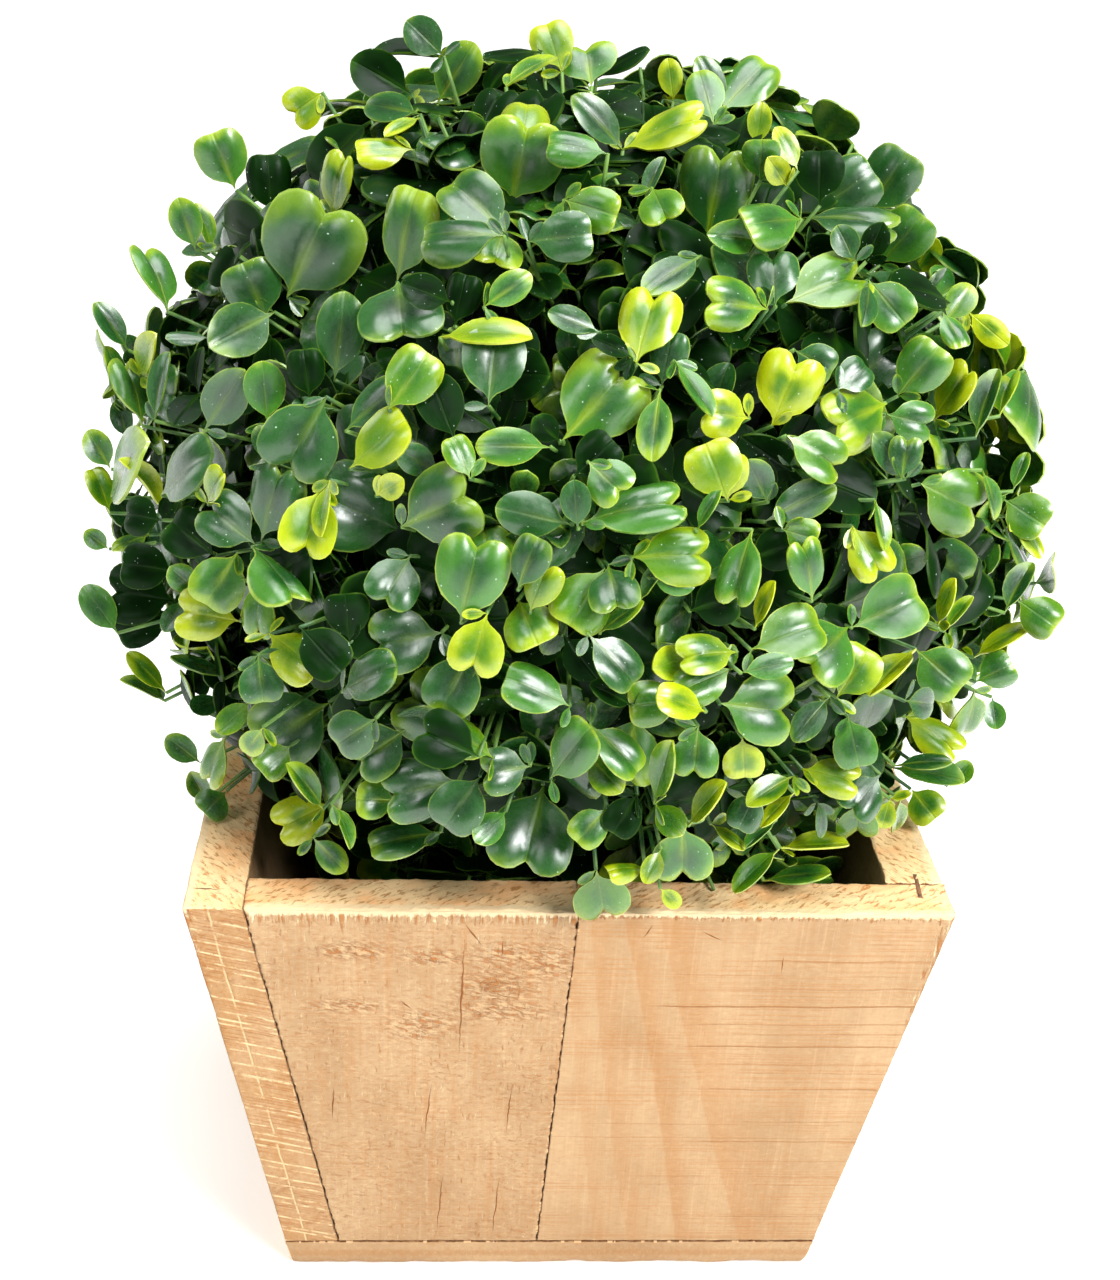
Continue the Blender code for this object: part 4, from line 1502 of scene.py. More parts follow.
# Leaves that the camera sees whole: shape, kind, then in pixels of the camera's frame the root, the
# tip and the width that shows. Their stalks run back to the core.
FRONT_LEAVES = (
    ("heart", "deep", 288, 298, 326, 208, 104), ("spoon", "deep", 274, 312, 212, 345, 54),
    ("spoon", "deep", 335, 380, 344, 294, 50), ("broad", "deep", 268, 320, 242, 262, 58),
    ("broad", "green", 398, 283, 412, 188, 62), ("heart", "deep", 397, 282, 402, 331, 88),
    ("broad", "green", 236, 190, 212, 132, 50), ("broad", "shade", 272, 216, 268, 154, 44),
    ("heart", "green", 168, 312, 148, 242, 40), ("spoon", "green", 196, 250, 178, 198, 32),
    ("spoon", "fresh", 212, 252, 200, 203, 20), ("spoon", "deep", 128, 350, 97, 302, 26),
    ("heart", "lime", 322, 92, 290, 116, 42), ("spoon", "shade", 412, 94, 352, 60, 46),
    ("spoon", "deep", 444, 56, 408, 21, 36), ("spoon", "shade", 446, 57, 372, 47, 16),
    ("spoon", "deep", 420, 114, 362, 100, 34), ("broad", "lime", 413, 150, 355, 150, 36),
    ("spoon", "lime", 420, 118, 385, 129, 14), ("heart", "fresh", 333, 219, 338, 154, 40),
    ("spoon", "green", 437, 104, 474, 43, 44), ("broad", "lime", 562, 72, 545, 20, 42),
    ("spoon", "shade", 542, 52, 485, 54, 14), ("spoon", "fresh", 506, 87, 553, 48, 20),
    ("heart", "green", 592, 86, 584, 42, 60), ("spoon", "shade", 596, 79, 645, 43, 18),
    ("broad", "lime", 522, 142, 528, 98, 48), ("heart", "green", 512, 204, 527, 128, 84),
    ("broad", "deep", 506, 233, 449, 176, 58), ("broad", "deep", 504, 236, 419, 228, 54),
    ("heart", "fresh", 503, 230, 494, 262, 54), ("broad", "deep", 528, 242, 592, 233, 50),
    ("broad", "fresh", 564, 200, 613, 214, 46), ("spoon", "deep", 623, 150, 579, 95, 36),
    ("broad", "green", 608, 154, 548, 139, 40), ("heart", "lime", 623, 150, 705, 112, 46),
    ("spoon", "green", 714, 124, 698, 67, 38), ("spoon", "deep", 724, 112, 700, 56, 30),
    ("spoon", "lime", 674, 102, 668, 58, 24), ("broad", "green", 720, 114, 768, 57, 50),
    ("heart", "lime", 637, 364, 655, 286, 63), ("spoon", "deep", 701, 256, 645, 288, 38),
    ("spoon", "deep", 644, 202, 662, 155, 20), ("heart", "fresh", 652, 188, 666, 217, 46),
    ("spoon", "lime", 440, 338, 526, 321, 26), ("spoon", "shade", 452, 302, 405, 284, 36),
    ("broad", "shade", 455, 326, 465, 274, 38), ("spoon", "green", 484, 307, 530, 274, 32),
    ("spoon", "deep", 600, 332, 548, 312, 28), ("heart", "green", 767, 309, 709, 300, 56),
    ("heart", "deep", 707, 240, 722, 152, 74), ("spoon", "green", 760, 240, 713, 234, 34),
    ("spoon", "lime", 756, 147, 762, 102, 24), ("spoon", "lime", 798, 171, 779, 126, 24),
    ("broad", "shade", 820, 206, 820, 149, 48), ("broad", "green", 760, 181, 762, 142, 38),
    ("small", "lime", 787, 186, 771, 161, 26), ("broad", "deep", 815, 211, 874, 170, 58),
    ("broad", "deep", 866, 214, 908, 151, 56), ("heart", "deep", 803, 219, 898, 214, 36),
    ("broad", "green", 801, 219, 751, 222, 52), ("broad", "green", 880, 265, 923, 215, 52),
    ("spoon", "deep", 855, 262, 838, 226, 28), ("spoon", "shade", 866, 262, 882, 226, 28),
    ("heart", "deep", 776, 306, 772, 250, 52), ("heart", "fresh", 786, 304, 866, 266, 64),
    ("broad", "green", 868, 280, 906, 324, 46), ("spoon", "deep", 868, 283, 868, 321, 24),
    ("spoon", "shade", 949, 303, 904, 276, 22), ("spoon", "fresh", 945, 322, 973, 284, 30),
    ("broad", "green", 942, 312, 964, 345, 28), ("spoon", "lime", 968, 312, 1008, 345, 28),
    ("spoon", "lime", 140, 377, 146, 337, 24), ("heart", "green", 142, 426, 130, 356, 36),
    ("spoon", "deep", 155, 421, 163, 351, 24), ("spoon", "deep", 210, 338, 166, 335, 18),
    ("spoon", "green", 126, 410, 112, 345, 20), ("spoon", "deep", 128, 440, 117, 400, 22),
    ("spoon", "green", 111, 469, 88, 431, 28), ("broad", "fresh", 110, 513, 94, 467, 28),
    ("spoon", "lime", 165, 512, 127, 454, 16), ("spoon", "green", 112, 498, 128, 440, 16),
    ("broad", "deep", 162, 496, 198, 449, 42), ("heart", "lime", 208, 504, 220, 470, 28),
    ("spoon", "deep", 205, 430, 243, 371, 46), ("spoon", "green", 268, 423, 262, 361, 42),
    ("broad", "shade", 310, 399, 303, 350, 38), ("heart", "deep", 326, 397, 283, 472, 80),
    ("spoon", "deep", 346, 431, 399, 380, 42), ("broad", "lime", 350, 469, 406, 418, 54),
    ("broad", "fresh", 389, 410, 428, 353, 54), ("spoon", "deep", 273, 463, 258, 425, 24),
    ("heart", "deep", 403, 531, 322, 496, 92), ("heart", "lime", 322, 486, 302, 556, 58),
    ("heart", "deep", 410, 556, 385, 599, 56), ("spoon", "lime", 330, 480, 317, 536, 18),
    ("small", "lime", 376, 496, 403, 479, 28), ("heart", "deep", 262, 541, 281, 465, 62),
    ("heart", "deep", 256, 544, 202, 503, 56), ("broad", "green", 237, 552, 204, 607, 55),
    ("heart", "green", 252, 547, 300, 600, 38), ("heart", "fresh", 262, 580, 251, 638, 40),
    ("heart", "lime", 240, 621, 178, 611, 54), ("spoon", "green", 197, 591, 171, 569, 28),
    ("spoon", "deep", 183, 600, 164, 630, 20), ("broad", "shade", 216, 556, 167, 518, 50),
    ("broad", "shade", 162, 520, 123, 514, 40), ("spoon", "green", 149, 535, 114, 546, 20),
    ("heart", "shade", 176, 600, 109, 592, 62), ("broad", "shade", 176, 571, 121, 564, 46),
    ("broad", "shade", 170, 610, 119, 634, 42), ("spoon", "green", 118, 633, 83, 587, 32),
    ("spoon", "green", 109, 549, 85, 532, 20), ("broad", "shade", 350, 642, 345, 594, 46),
    ("spoon", "shade", 456, 441, 428, 371, 48), ("broad", "deep", 489, 406, 497, 327, 64),
    ("spoon", "green", 551, 447, 476, 444, 40), ("broad", "fresh", 470, 479, 454, 436, 32),
    ("spoon", "shade", 560, 441, 536, 420, 28), ("broad", "shade", 574, 476, 614, 440, 46),
    ("heart", "green", 563, 441, 628, 367, 88), ("spoon", "green", 660, 390, 650, 458, 38),
    ("broad", "deep", 662, 386, 672, 331, 40), ("spoon", "green", 674, 361, 714, 414, 26),
    ("spoon", "shade", 633, 358, 596, 336, 22), ("heart", "deep", 402, 527, 468, 494, 84),
    ("spoon", "deep", 438, 472, 402, 452, 32), ("heart", "fresh", 480, 518, 490, 557, 58),
    ("heart", "green", 461, 623, 478, 541, 77), ("spoon", "deep", 571, 524, 496, 507, 46),
    ("heart", "green", 582, 524, 682, 492, 62), ("heart", "green", 588, 462, 623, 494, 50),
    ("spoon", "deep", 578, 529, 574, 481, 32), ("small", "green", 520, 501, 526, 476, 30),
    ("broad", "deep", 518, 590, 536, 538, 42), ("heart", "lime", 530, 613, 546, 564, 42),
    ("broad", "fresh", 604, 568, 570, 624, 62), ("heart", "deep", 608, 565, 617, 607, 54),
    ("heart", "fresh", 632, 558, 711, 553, 62), ("spoon", "green", 640, 601, 664, 562, 18),
    ("spoon", "green", 650, 578, 695, 585, 28), ("broad", "fresh", 518, 600, 535, 639, 56),
    ("spoon", "green", 600, 633, 641, 600, 22), ("broad", "shade", 690, 611, 734, 598, 48),
    ("heart", "green", 752, 530, 729, 604, 50), ("broad", "lime", 728, 501, 706, 445, 58),
    ("heart", "lime", 728, 500, 726, 458, 46), ("heart", "lime", 749, 418, 707, 412, 50),
    ("spoon", "green", 697, 531, 716, 489, 16), ("spoon", "deep", 768, 502, 750, 464, 36),
    ("heart", "lime", 772, 426, 800, 356, 67), ("broad", "deep", 794, 350, 834, 372, 40),
    ("broad", "deep", 838, 390, 868, 364, 36), ("broad", "green", 898, 396, 939, 347, 52),
    ("heart", "fresh", 886, 403, 842, 424, 68), ("heart", "green", 886, 414, 934, 426, 42),
    ("heart", "lime", 934, 421, 970, 366, 42), ("spoon", "deep", 976, 438, 994, 366, 30),
    ("heart", "fresh", 1000, 416, 1008, 371, 26), ("spoon", "deep", 905, 479, 880, 436, 32),
    ("heart", "deep", 902, 479, 908, 437, 34), ("heart", "fresh", 920, 484, 985, 514, 68),
    ("heart", "fresh", 786, 436, 843, 469, 50), ("spoon", "deep", 765, 522, 834, 484, 40),
    ("broad", "shade", 750, 560, 791, 544, 44), ("broad", "fresh", 783, 530, 816, 539, 36),
    ("heart", "green", 812, 601, 808, 542, 43), ("heart", "lime", 852, 526, 884, 575, 46),
    ("spoon", "green", 875, 500, 888, 549, 20), ("broad", "green", 852, 628, 922, 594, 62),
    ("spoon", "lime", 938, 626, 950, 579, 16), ("spoon", "fresh", 945, 631, 969, 594, 16),
    ("broad", "fresh", 1003, 499, 1046, 526, 46), ("spoon", "lime", 1014, 516, 1042, 558, 22),
    ("spoon", "green", 982, 470, 1003, 518, 20), ("spoon", "deep", 1005, 613, 1029, 559, 26),
    ("broad", "fresh", 1017, 600, 1056, 626, 42), ("spoon", "green", 1013, 491, 1026, 451, 18),
    ("spoon", "lime", 755, 629, 770, 581, 16), ("heart", "lime", 268, 634, 319, 668, 56),
    ("spoon", "fresh", 166, 693, 129, 651, 24), ("spoon", "green", 164, 701, 124, 674, 14),
    ("spoon", "green", 201, 763, 166, 737, 26), ("heart", "fresh", 226, 736, 203, 784, 36),
    ("broad", "green", 226, 791, 204, 813, 36), ("spoon", "green", 207, 801, 191, 774, 22),
    ("spoon", "fresh", 251, 701, 217, 732, 26), ("broad", "deep", 258, 655, 263, 704, 44),
    ("heart", "deep", 329, 702, 261, 746, 78), ("broad", "fresh", 291, 745, 261, 771, 38),
    ("spoon", "fresh", 263, 727, 244, 756, 26), ("spoon", "green", 323, 809, 294, 764, 26),
    ("heart", "lime", 331, 803, 276, 829, 48), ("spoon", "green", 313, 838, 344, 871, 28),
    ("broad", "deep", 342, 692, 390, 664, 50), ("broad", "shade", 300, 627, 340, 670, 50),
    ("broad", "deep", 376, 718, 334, 746, 50), ("heart", "deep", 406, 729, 354, 766, 58),
    ("heart", "deep", 442, 632, 374, 646, 68), ("heart", "deep", 459, 780, 384, 797, 66),
    ("broad", "green", 396, 800, 360, 800, 40), ("broad", "deep", 441, 832, 368, 846, 42),
    ("spoon", "fresh", 332, 804, 358, 845, 14), ("heart", "lime", 487, 613, 470, 675, 57),
    ("broad", "deep", 470, 652, 440, 713, 58), ("broad", "green", 570, 706, 508, 675, 50),
    ("broad", "deep", 588, 635, 639, 683, 47), ("spoon", "shade", 633, 706, 591, 684, 26),
    ("heart", "shade", 479, 756, 419, 730, 60), ("broad", "fresh", 493, 758, 445, 722, 42),
    ("heart", "deep", 530, 766, 485, 774, 50), ("broad", "green", 551, 779, 589, 727, 54),
    ("broad", "green", 590, 726, 643, 769, 43), ("spoon", "fresh", 588, 756, 621, 791, 36),
    ("broad", "shade", 637, 794, 614, 834, 38), ("broad", "green", 607, 808, 577, 842, 38),
    ("broad", "deep", 480, 776, 443, 829, 56), ("heart", "deep", 543, 785, 524, 869, 88),
    ("spoon", "green", 506, 811, 479, 839, 30), ("spoon", "fresh", 655, 803, 670, 742, 32),
    ("heart", "green", 698, 726, 694, 777, 48), ("heart", "fresh", 737, 652, 681, 654, 46),
    ("broad", "fresh", 733, 668, 679, 691, 46), ("spoon", "lime", 691, 655, 654, 669, 36),
    ("broad", "fresh", 680, 700, 633, 706, 48), ("broad", "lime", 706, 712, 661, 694, 38),
    ("spoon", "lime", 689, 826, 719, 782, 22), ("spoon", "fresh", 655, 804, 681, 833, 30),
    ("heart", "green", 682, 823, 683, 883, 62), ("broad", "lime", 645, 868, 611, 867, 24),
    ("spoon", "lime", 661, 849, 645, 883, 22), ("heart", "fresh", 596, 870, 606, 923, 58),
    ("spoon", "lime", 660, 888, 680, 907, 18), ("broad", "fresh", 751, 650, 823, 621, 56),
    ("heart", "green", 848, 626, 812, 664, 73), ("broad", "fresh", 837, 698, 867, 651, 52),
    ("spoon", "lime", 916, 649, 868, 687, 24), ("broad", "green", 915, 649, 963, 689, 54),
    ("heart", "green", 720, 704, 795, 712, 75), ("spoon", "green", 741, 673, 794, 660, 28),
    ("broad", "lime", 742, 737, 745, 781, 42), ("spoon", "deep", 829, 697, 794, 738, 30),
    ("broad", "green", 848, 716, 860, 769, 44), ("heart", "lime", 802, 769, 860, 780, 42),
    ("spoon", "fresh", 793, 776, 750, 799, 28), ("broad", "deep", 757, 791, 738, 831, 36),
    ("spoon", "lime", 794, 793, 759, 823, 18), ("heart", "deep", 880, 774, 850, 813, 46),
    ("heart", "fresh", 858, 802, 857, 839, 42), ("spoon", "lime", 890, 799, 882, 829, 22),
    ("spoon", "fresh", 900, 799, 897, 833, 18), ("heart", "lime", 905, 717, 961, 749, 44),
    ("broad", "fresh", 974, 690, 968, 744, 40), ("spoon", "green", 992, 697, 997, 729, 22),
    ("broad", "green", 976, 682, 1013, 664, 38), ("spoon", "deep", 905, 701, 941, 705, 32),
    ("spoon", "green", 892, 768, 964, 776, 32), ("spoon", "fresh", 948, 786, 971, 762, 22),
    ("spoon", "deep", 895, 766, 951, 757, 18), ("broad", "fresh", 911, 789, 936, 819, 38),
    ("spoon", "lime", 974, 658, 1025, 619, 24), ("spoon", "lime", 780, 848, 849, 844, 16),
    ("spoon", "green", 764, 881, 829, 868, 18), ("spoon", "fresh", 779, 849, 731, 889, 26),
    ("spoon", "green", 776, 821, 745, 846, 14), ("spoon", "deep", 817, 802, 829, 838, 16),
    ("spoon", "lime", 711, 824, 746, 849, 14),
)
# Shares of the ball's radius: where front leaves have their tips, between which their roots are
# sought, and how far down to the centre their stalks start
FRONT_TIP_SHARE = 0.955
FRONT_ROOT_SHARES = (0.93, 0.62)
FRONT_ROOT_STEPS = 12
FRONT_STALK_SHARE = 0.66
# A front leaf that touches the pot moves towards the camera by steps, up to this share of the way.
NEARING_STEP = 0.003
MOST_NEARED = 0.92
# Sprigs: how far they stray from even spacing, where they start and end as shares of the ball's
# reach, and how far they lean as a share of their length
OUTER_JITTER, OUTER_START, OUTER_SHARES, OUTER_LEAN = 0.050, 0.62, (0.86, 0.955), 0.30
STRAY_START, STRAY_END, STRAY_LEAN = 0.70, 0.95, 0.20
INNER_JITTER, INNER_START, INNER_SHARES, INNER_LEAN = 0.06, 0.58, (0.72, 0.86), 0.45
INNER_LIMIT = 0.95
STEM_RADIUS = 0.50 * MM
SPRIG_BOW = 0.9 * MM
FRONT_BOW = 0.7 * MM
# Leaves this far down a sprig get the shade kind, painted dark as shade; from the first on, some of
# them.
SOME_SHADED, ALL_SHADED = 7 * MM, 12 * MM
# Which kind a sprig is, by a value that rises towards the lit side
KIND_LIMITS = (("deep", 0.44), ("green", 0.60), ("fresh", 0.76), ("lime", math.inf))
# How far a leaf turns up or down, in radians, to keep its space
RISE_CHANGES = (0.0, -0.3, 0.35, -0.6, 0.7)
WELL_ABOVE = 30 * MM
SHARP_EDGE = math.radians(50)
CORE_SHARE = 0.60
CORE_LUMPS = 0.05
# Sprigs among the front leaves end lower and are painted darker, as painted shade, so that the gaps
# stay dark.
BEHIND_SHARES = (0.74, 0.86)
BEHIND_SHADE_KINDS = {"deep": "shade", "green": "shade", "fresh": "shade", "lime": "deep"}


class TOPIARY_OT_foliage(bpy.types.Operator):
    """Makes the ball: stems out of a lattice core, each with pairs of moulded leaves"""

    bl_idname = "topiary.foliage"
    bl_label = "Foliage ball"

    def execute(self, context):
        settings = context.scene.topiary_foliage
        rng = random.Random(settings.seed)
        thickness = settings.leaf_thickness / settings.heart_length
        self.templates = {shape: leaf_template(shape, thickness) for shape in LEAF_SHAPES}
        self.templates |= {
            f"front_{shape}": leaf_template(shape, thickness, 2) for shape in LEAF_SHAPES
        }
        self.piles = {kind: LeafPile() for kind in LEAF_KINDS}
        self.stems = LeafPile()
        self.stem = self.stem_template()
        self.settings = settings
        self.grid = SightGrid()
        for shape, kind, *pixels in FRONT_LEAVES:
            self.front_leaf(shape, kind, pixels[:2], pixels[2:4], pixels[4], rng)
        for way in even_directions(settings.sprigs, OUTER_JITTER, rng):
            shares = BEHIND_SHARES if self.is_behind_front(way, rng) else OUTER_SHARES
            sprig = Sprig(way, OUTER_START, rng.uniform(*shares), OUTER_LEAN, rng)
            self.grow(sprig, OUTER_TIERS, 1.0, rng)
        for turn, rise, share in STRAYS:
            sprig = Sprig(stray_direction(turn, rise), STRAY_START, share * STRAY_END, STRAY_LEAN, rng)
            self.grow(sprig, OUTER_TIERS, share, rng)
        for way in even_directions(settings.inner_sprigs, INNER_JITTER, rng):
            sprig = Sprig(way, INNER_START, rng.uniform(*INNER_SHARES), INNER_LEAN, rng)
            self.grow(sprig, INNER_TIERS, INNER_LIMIT, rng)
        self.core()
        for kind, pile in self.piles.items():
            plastic = leaf_plastic(kind)
            for number, part in enumerate(pile.split(MOST_TRIANGLES)):
                name = f"leaves_{kind}" + (f"_{number + 1}" if number else "")
                piece_from(part.mesh(name, SHARP_EDGE), name, (plastic,))
        piece_from(self.stems.mesh("stems"), "sprig_stems", (stem_plastic(),))
        return {"FINISHED"}

    def is_behind_front(self, way, rng):
        """True, more and more often, towards where the front leaves hide most of what grows."""
        facing = way.dot((CAMERA_PLACE - BALL_CENTRE).normalized())
        return rng.random() < smoothstep(0.08, 0.42, facing)

    def stem_template(self):
        """A five-sided rod one unit long, thinner at its end."""
        bm = bmesh.new()
        bmesh.ops.create_cone(
            bm,
            cap_ends=True,
            segments=5,
            radius1=1.0,
            radius2=0.75,
            depth=1.0,
            matrix=Matrix.Translation((0, 0, 0.5)),
        )
        rails = [edge for edge in bm.edges if abs(edge.verts[0].co.z - edge.verts[1].co.z) > 0.5]
        bmesh.ops.subdivide_edges(bm, edges=rails, cuts=2)
        return Template(bm)

    def rod(self, start, end, radius, bow):
        """Adds a stem from start to end, bowed to one side in the middle."""
        run = end - start
        turn = np.array(run.to_track_quat("Z", "Y").to_matrix())
        points = self.stem.points.copy()
        height = points[:, 2].copy()
        points[:, :2] *= radius
        points[:, 2] = height * run.length
        placed = points @ turn.T + np.array(start)
        placed += np.outer(4 * height * (1 - height), np.array(bow))
        self.stems.add(self.stem, placed)

    def kind_for(self, way, rng):
        """Lime sprigs come in drifts, more of them towards the ball's lit right side, a lean that
        paints light into the colours.
        """
        drift = noise.noise(way * 2.3 + Vector((3.1, 0.4, 7.7)))
        value = 0.46 + 0.36 * drift + 0.10 * way.x - 0.05 * way.z + rng.gauss(0, 0.18)
        return next(kind for kind, limit in KIND_LIMITS if value < limit)

    def neighbour_kind(self, kind, rng):
        """The sprig's kind or, now and then, the next one darker or paler."""
        kinds = list(LEAF_KINDS)
        step = rng.choice((-1, 0, 0, 0, 0, 1))
        return kinds[min(max(kinds.index(kind) + step, 1 if kind != "shade" else 0), 4)]

    def bent(self, shape, length, width, curl, cup, roll):
        """The points of a leaf of this size, curled along, cupped across and turned on its midrib."""
        points = self.templates[shape].points.copy()
        points[:, 2] += curl * points[:, 0] ** 2 + cup * points[:, 1] ** 2
        points *= (length, width, length)
        return points @ np.array(Matrix.Rotation(roll, 3, "X")).T

    def front_leaf(self, shape, kind, root_pixel, tip_pixel, width, rng):
        """Places a leaf so that the camera sees it from the root pixel to the tip pixel."""
        tip = on_ball(tip_pixel, BALL_RADIUS * FRONT_TIP_SHARE)
        pixel = (tip - CAMERA_PLACE).length / FOCAL_PIXELS
        full_width = LEAF_SHAPES[shape][5]
        shown = math.hypot(tip_pixel[0] - root_pixel[0], tip_pixel[1] - root_pixel[1])
        length = max(width / full_width, shown) * pixel
        root = self.front_root(root_pixel, tip, length)
        length = (tip - root).length
        way = (tip - root).normalized()
        towards = (CAMERA_PLACE - (root + tip) / 2).normalized()
        radial = ((root + tip) / 2 - BALL_CENTRE).normalized()
        widest = length * full_width * 0.85
        roll = math.acos(min(width * pixel / widest, 1.0))
        facing = leaf_axes(way, towards)
        turn = Matrix.Rotation(roll, 3, way)
        if (turn @ Vector(facing[2])).z < (turn.transposed() @ Vector(facing[2])).z:
            turn.transpose()
        outward = turn @ Vector(facing[2]) + 0.12 * radial
        cup = rng.gauss(-0.10 if shape in ("heart", "broad") else 0.20, 0.25)
        shape = f"front_{shape}"
        points = self.bent(
            shape, length, max(width * pixel, widest * math.sin(roll)), rng.gauss(-0.06, 0.06), cup, 0.0
        )
        placed = points @ leaf_axes(way, outward) + np.array(root)
        eye = np.array(CAMERA_PLACE)
        nearer = 1.0 + self.grid.way_clear(self.between(self.templates[shape], placed))
        placed = (placed - eye) * nearer + eye
        while not self.clears_pot(placed) and nearer > MOST_NEARED:
            nearer -= NEARING_STEP
            placed = (points @ leaf_axes(way, outward) + np.array(root) - eye) * nearer + eye
        root = CAMERA_PLACE + (root - CAMERA_PLACE) * nearer
        tile = rng.randrange(MAP_TILES * MAP_TILES)
        self.piles[kind].add(self.templates[shape], placed, tile)
        self.grid.mark(self.between(self.templates[shape], placed))
        stalk = BALL_CENTRE + (root - BALL_CENTRE) * FRONT_STALK_SHARE
        self.rod(stalk, root, STEM_RADIUS, random_vector(rng) * FRONT_BOW)
        self.tiny_leaves(kind, root, way, outward, radial, tile, rng)

    def front_root(self, root_pixel, tip, length):
        """The place in the root's line of sight from which the leaf comes nearest to its length."""
        near, deep = FRONT_ROOT_SHARES
        steps = range(FRONT_ROOT_STEPS + 1)
        shares = [near + (deep - near) * step / FRONT_ROOT_STEPS for step in steps]
        roots = [on_ball(root_pixel, BALL_RADIUS * share) for share in shares]
        return min(roots, key=lambda place: abs((tip - place).length - length))

    def tiny_leaves(self, kind, root, way, outward, radial, tile, rng):
        """Adds up to two tiny leaves where a front leaf starts."""
        for _ in range(rng.choice((0, 0, 1, 1, 2))):
            turned = way.copy()
            turned.rotate(Matrix.Rotation(rng.uniform(0.5, 2.2) * rng.choice((-1, 1)), 3, outward))
            points = self.bent("small", 4.2 * MM, 1.9 * MM, 0.1, 0.3, rng.gauss(0, 0.5))
            placed = points @ leaf_axes(turned, outward + radial * 0.4) + np.array(root)
            if self.clears_pot(placed):
                self.piles[kind].add(self.templates["small"], placed, tile)

    def between(self, template, points, steps=4):
        """Points all over the faces of a leaf."""
        corners = points[template.loops].reshape(-1, 4, 3)
        shares = np.linspace(0, 1, steps)
        return np.concatenate(
            [
                (corners[:, 0] * (1 - u) + corners[:, 1] * u) * (1 - v)
                + (corners[:, 3] * (1 - u) + corners[:, 2] * u) * v
                for u in shares
                for v in shares
            ]
        )

    def grow(self, sprig, tiers, limit_share, rng):
        """Adds a sprig's stem and its pairs of leaves, unless it stands before a front leaf."""
        if sprig.way.angle(Vector((0, 0, -1))) < STEM_CLEAR_ANGLE:
            return
        run = [sprig.start.lerp(sprig.end, share) for share in (0.7, 0.8, 0.9, 1.0)]
        if self.grid.share_before(run):
            return
        kind = self.kind_for(sprig.way, rng)
        # Among the front leaves a sprig takes a darker kind: painted shade.
        if self.is_behind_front(sprig.way, rng):
            kind = BEHIND_SHADE_KINDS[kind]
        # Inner sprigs are painted shade: mostly the shade kind.
        if tiers is INNER_TIERS:
            kind = "shade" if rng.random() < 0.85 else "deep"
        limit = BALL_RADIUS * limit_share
        self.rod(sprig.start, sprig.end, STEM_RADIUS, random_vector(rng) * SPRIG_BOW)
        turned = sprig.out.cross(sprig.across)
        sprig_scale = rng.uniform(0.80, 1.08)
        for drop, is_turned, scale, rises, heart_chance, broad_chance in tiers:
            node = sprig.end - sprig.out * drop
            sideways = turned if is_turned else sprig.across
            for side in (1, -1):
                pick = rng.random()
                shape = "heart" if pick < heart_chance else "spoon"
                if heart_chance <= pick < heart_chance + broad_chance:
                    shape = "broad"
                if shape == "spoon" and scale < 0.75:
                    shape = "small"
                in_painted_shade = drop > ALL_SHADED or (drop > SOME_SHADED and rng.random() < 0.4)
                self.leaf(
                    shape,
                    node,
                    sideways * side,
                    sprig.out,
                    scale * sprig_scale,
                    rng.uniform(*rises),
                    "shade" if in_painted_shade else self.neighbour_kind(kind, rng),
                    limit,
                    rng,
                )

    def leaf(self, shape, root, sideways, out, scale, rise, kind, limit, rng):
        """Adds a leaf, turned up or down until it keeps its space; one that can't is left out."""
        lobed = shape in ("heart", "broad")
        length = self.settings.heart_length if lobed else self.settings.spoon_length
        length *= scale * rng.uniform(0.88, 1.08)
        width = length * (rng.uniform(0.86, 0.98) if lobed else rng.uniform(0.54, 0.74))
        cup = rng.gauss(-0.10 if lobed else 0.25, 0.35)
        points = self.bent(shape, length, width, rng.gauss(-0.08, 0.10), cup, rng.gauss(0, 0.30))
        swing = Matrix.Rotation(rng.gauss(0, 0.24), 3, out)
        tile = rng.randrange(MAP_TILES * MAP_TILES)
        for change in RISE_CHANGES:
            lift = rise + change
            way = (swing @ sideways) * math.cos(lift) + out * math.sin(lift)
            placed = points @ leaf_axes(way.normalized(), out) + np.array(root)
            if self.keeps_its_space(placed, limit) and not self.grid.share_before(placed):
                self.piles[kind].add(self.templates[shape], placed, tile)
                return

    def clears_pot(self, points):
        """True where a front leaf is above the pot's rim or inside its mouth."""
        across = np.abs(points[:, :2]).max(axis=1)
        inside = (across < mouth_half(HEIGHT) - POT_CLEARANCE) & (points[:, 2] > FILLER_TOP + MM)
        return bool((inside | (points[:, 2] > HEIGHT + 0.4 * MM)).all())

    def keeps_its_space(self, points, limit):
        """True where a leaf is inside the ball's limit and clear of the pot."""
        if (np.linalg.norm(points - np.array(BALL_CENTRE), axis=1) > limit).any():
            return False
        if points[:, 2].min() > HEIGHT + WELL_ABOVE:
            return True
        return all(is_free(point) for point in points)

    def core(self):
        """The lattice ball that the stems grow from, and what shows between its bars, painted dark as
        the shade inside the foliage.
        """
        bm = bmesh.new()
        bmesh.ops.create_icosphere(bm, subdivisions=4, radius=1.0)
        for vert in bm.verts:
            way = vert.co.normalized()
            lumps = 1 + CORE_LUMPS * noise.noise(way * 7.0)
            vert.co = BALL_CENTRE + way * reach(way) * CORE_SHARE * lumps
        mesh = mesh_of(bm, "lattice_core")
        piece_from(mesh, "lattice_core", (core_painted_shade(),), ("foliage_ball",))


# ---------------- inside the pot


def dark_foam():
    """Dry filler foam: dull and brown-black, with fine open cells."""
    look = {"detail": 4.0, "grit": 0.7, "Roughness": 0.95, "IOR": 1.45}
    return grained("dark_foam", "#1C140D", "#3A2A1C", 1.2, 0.8 * MM, 0.9, **look)


class TOPIARY_OT_inside(bpy.types.Operator):
    """Finishes the filler block and the short stem, whose solids stay as they are"""

    bl_idname = "topiary.inside"
    bl_label = "Filler and stem"

    def execute(self, context):
        for node, material in (("filler_block", dark_foam()), ("stem", stem_plastic())):
            solid = frame["nodes"][node]
            solid.data.materials.clear()
            solid.data.materials.append(material)
        return {"FINISHED"}


# ---------------- stage

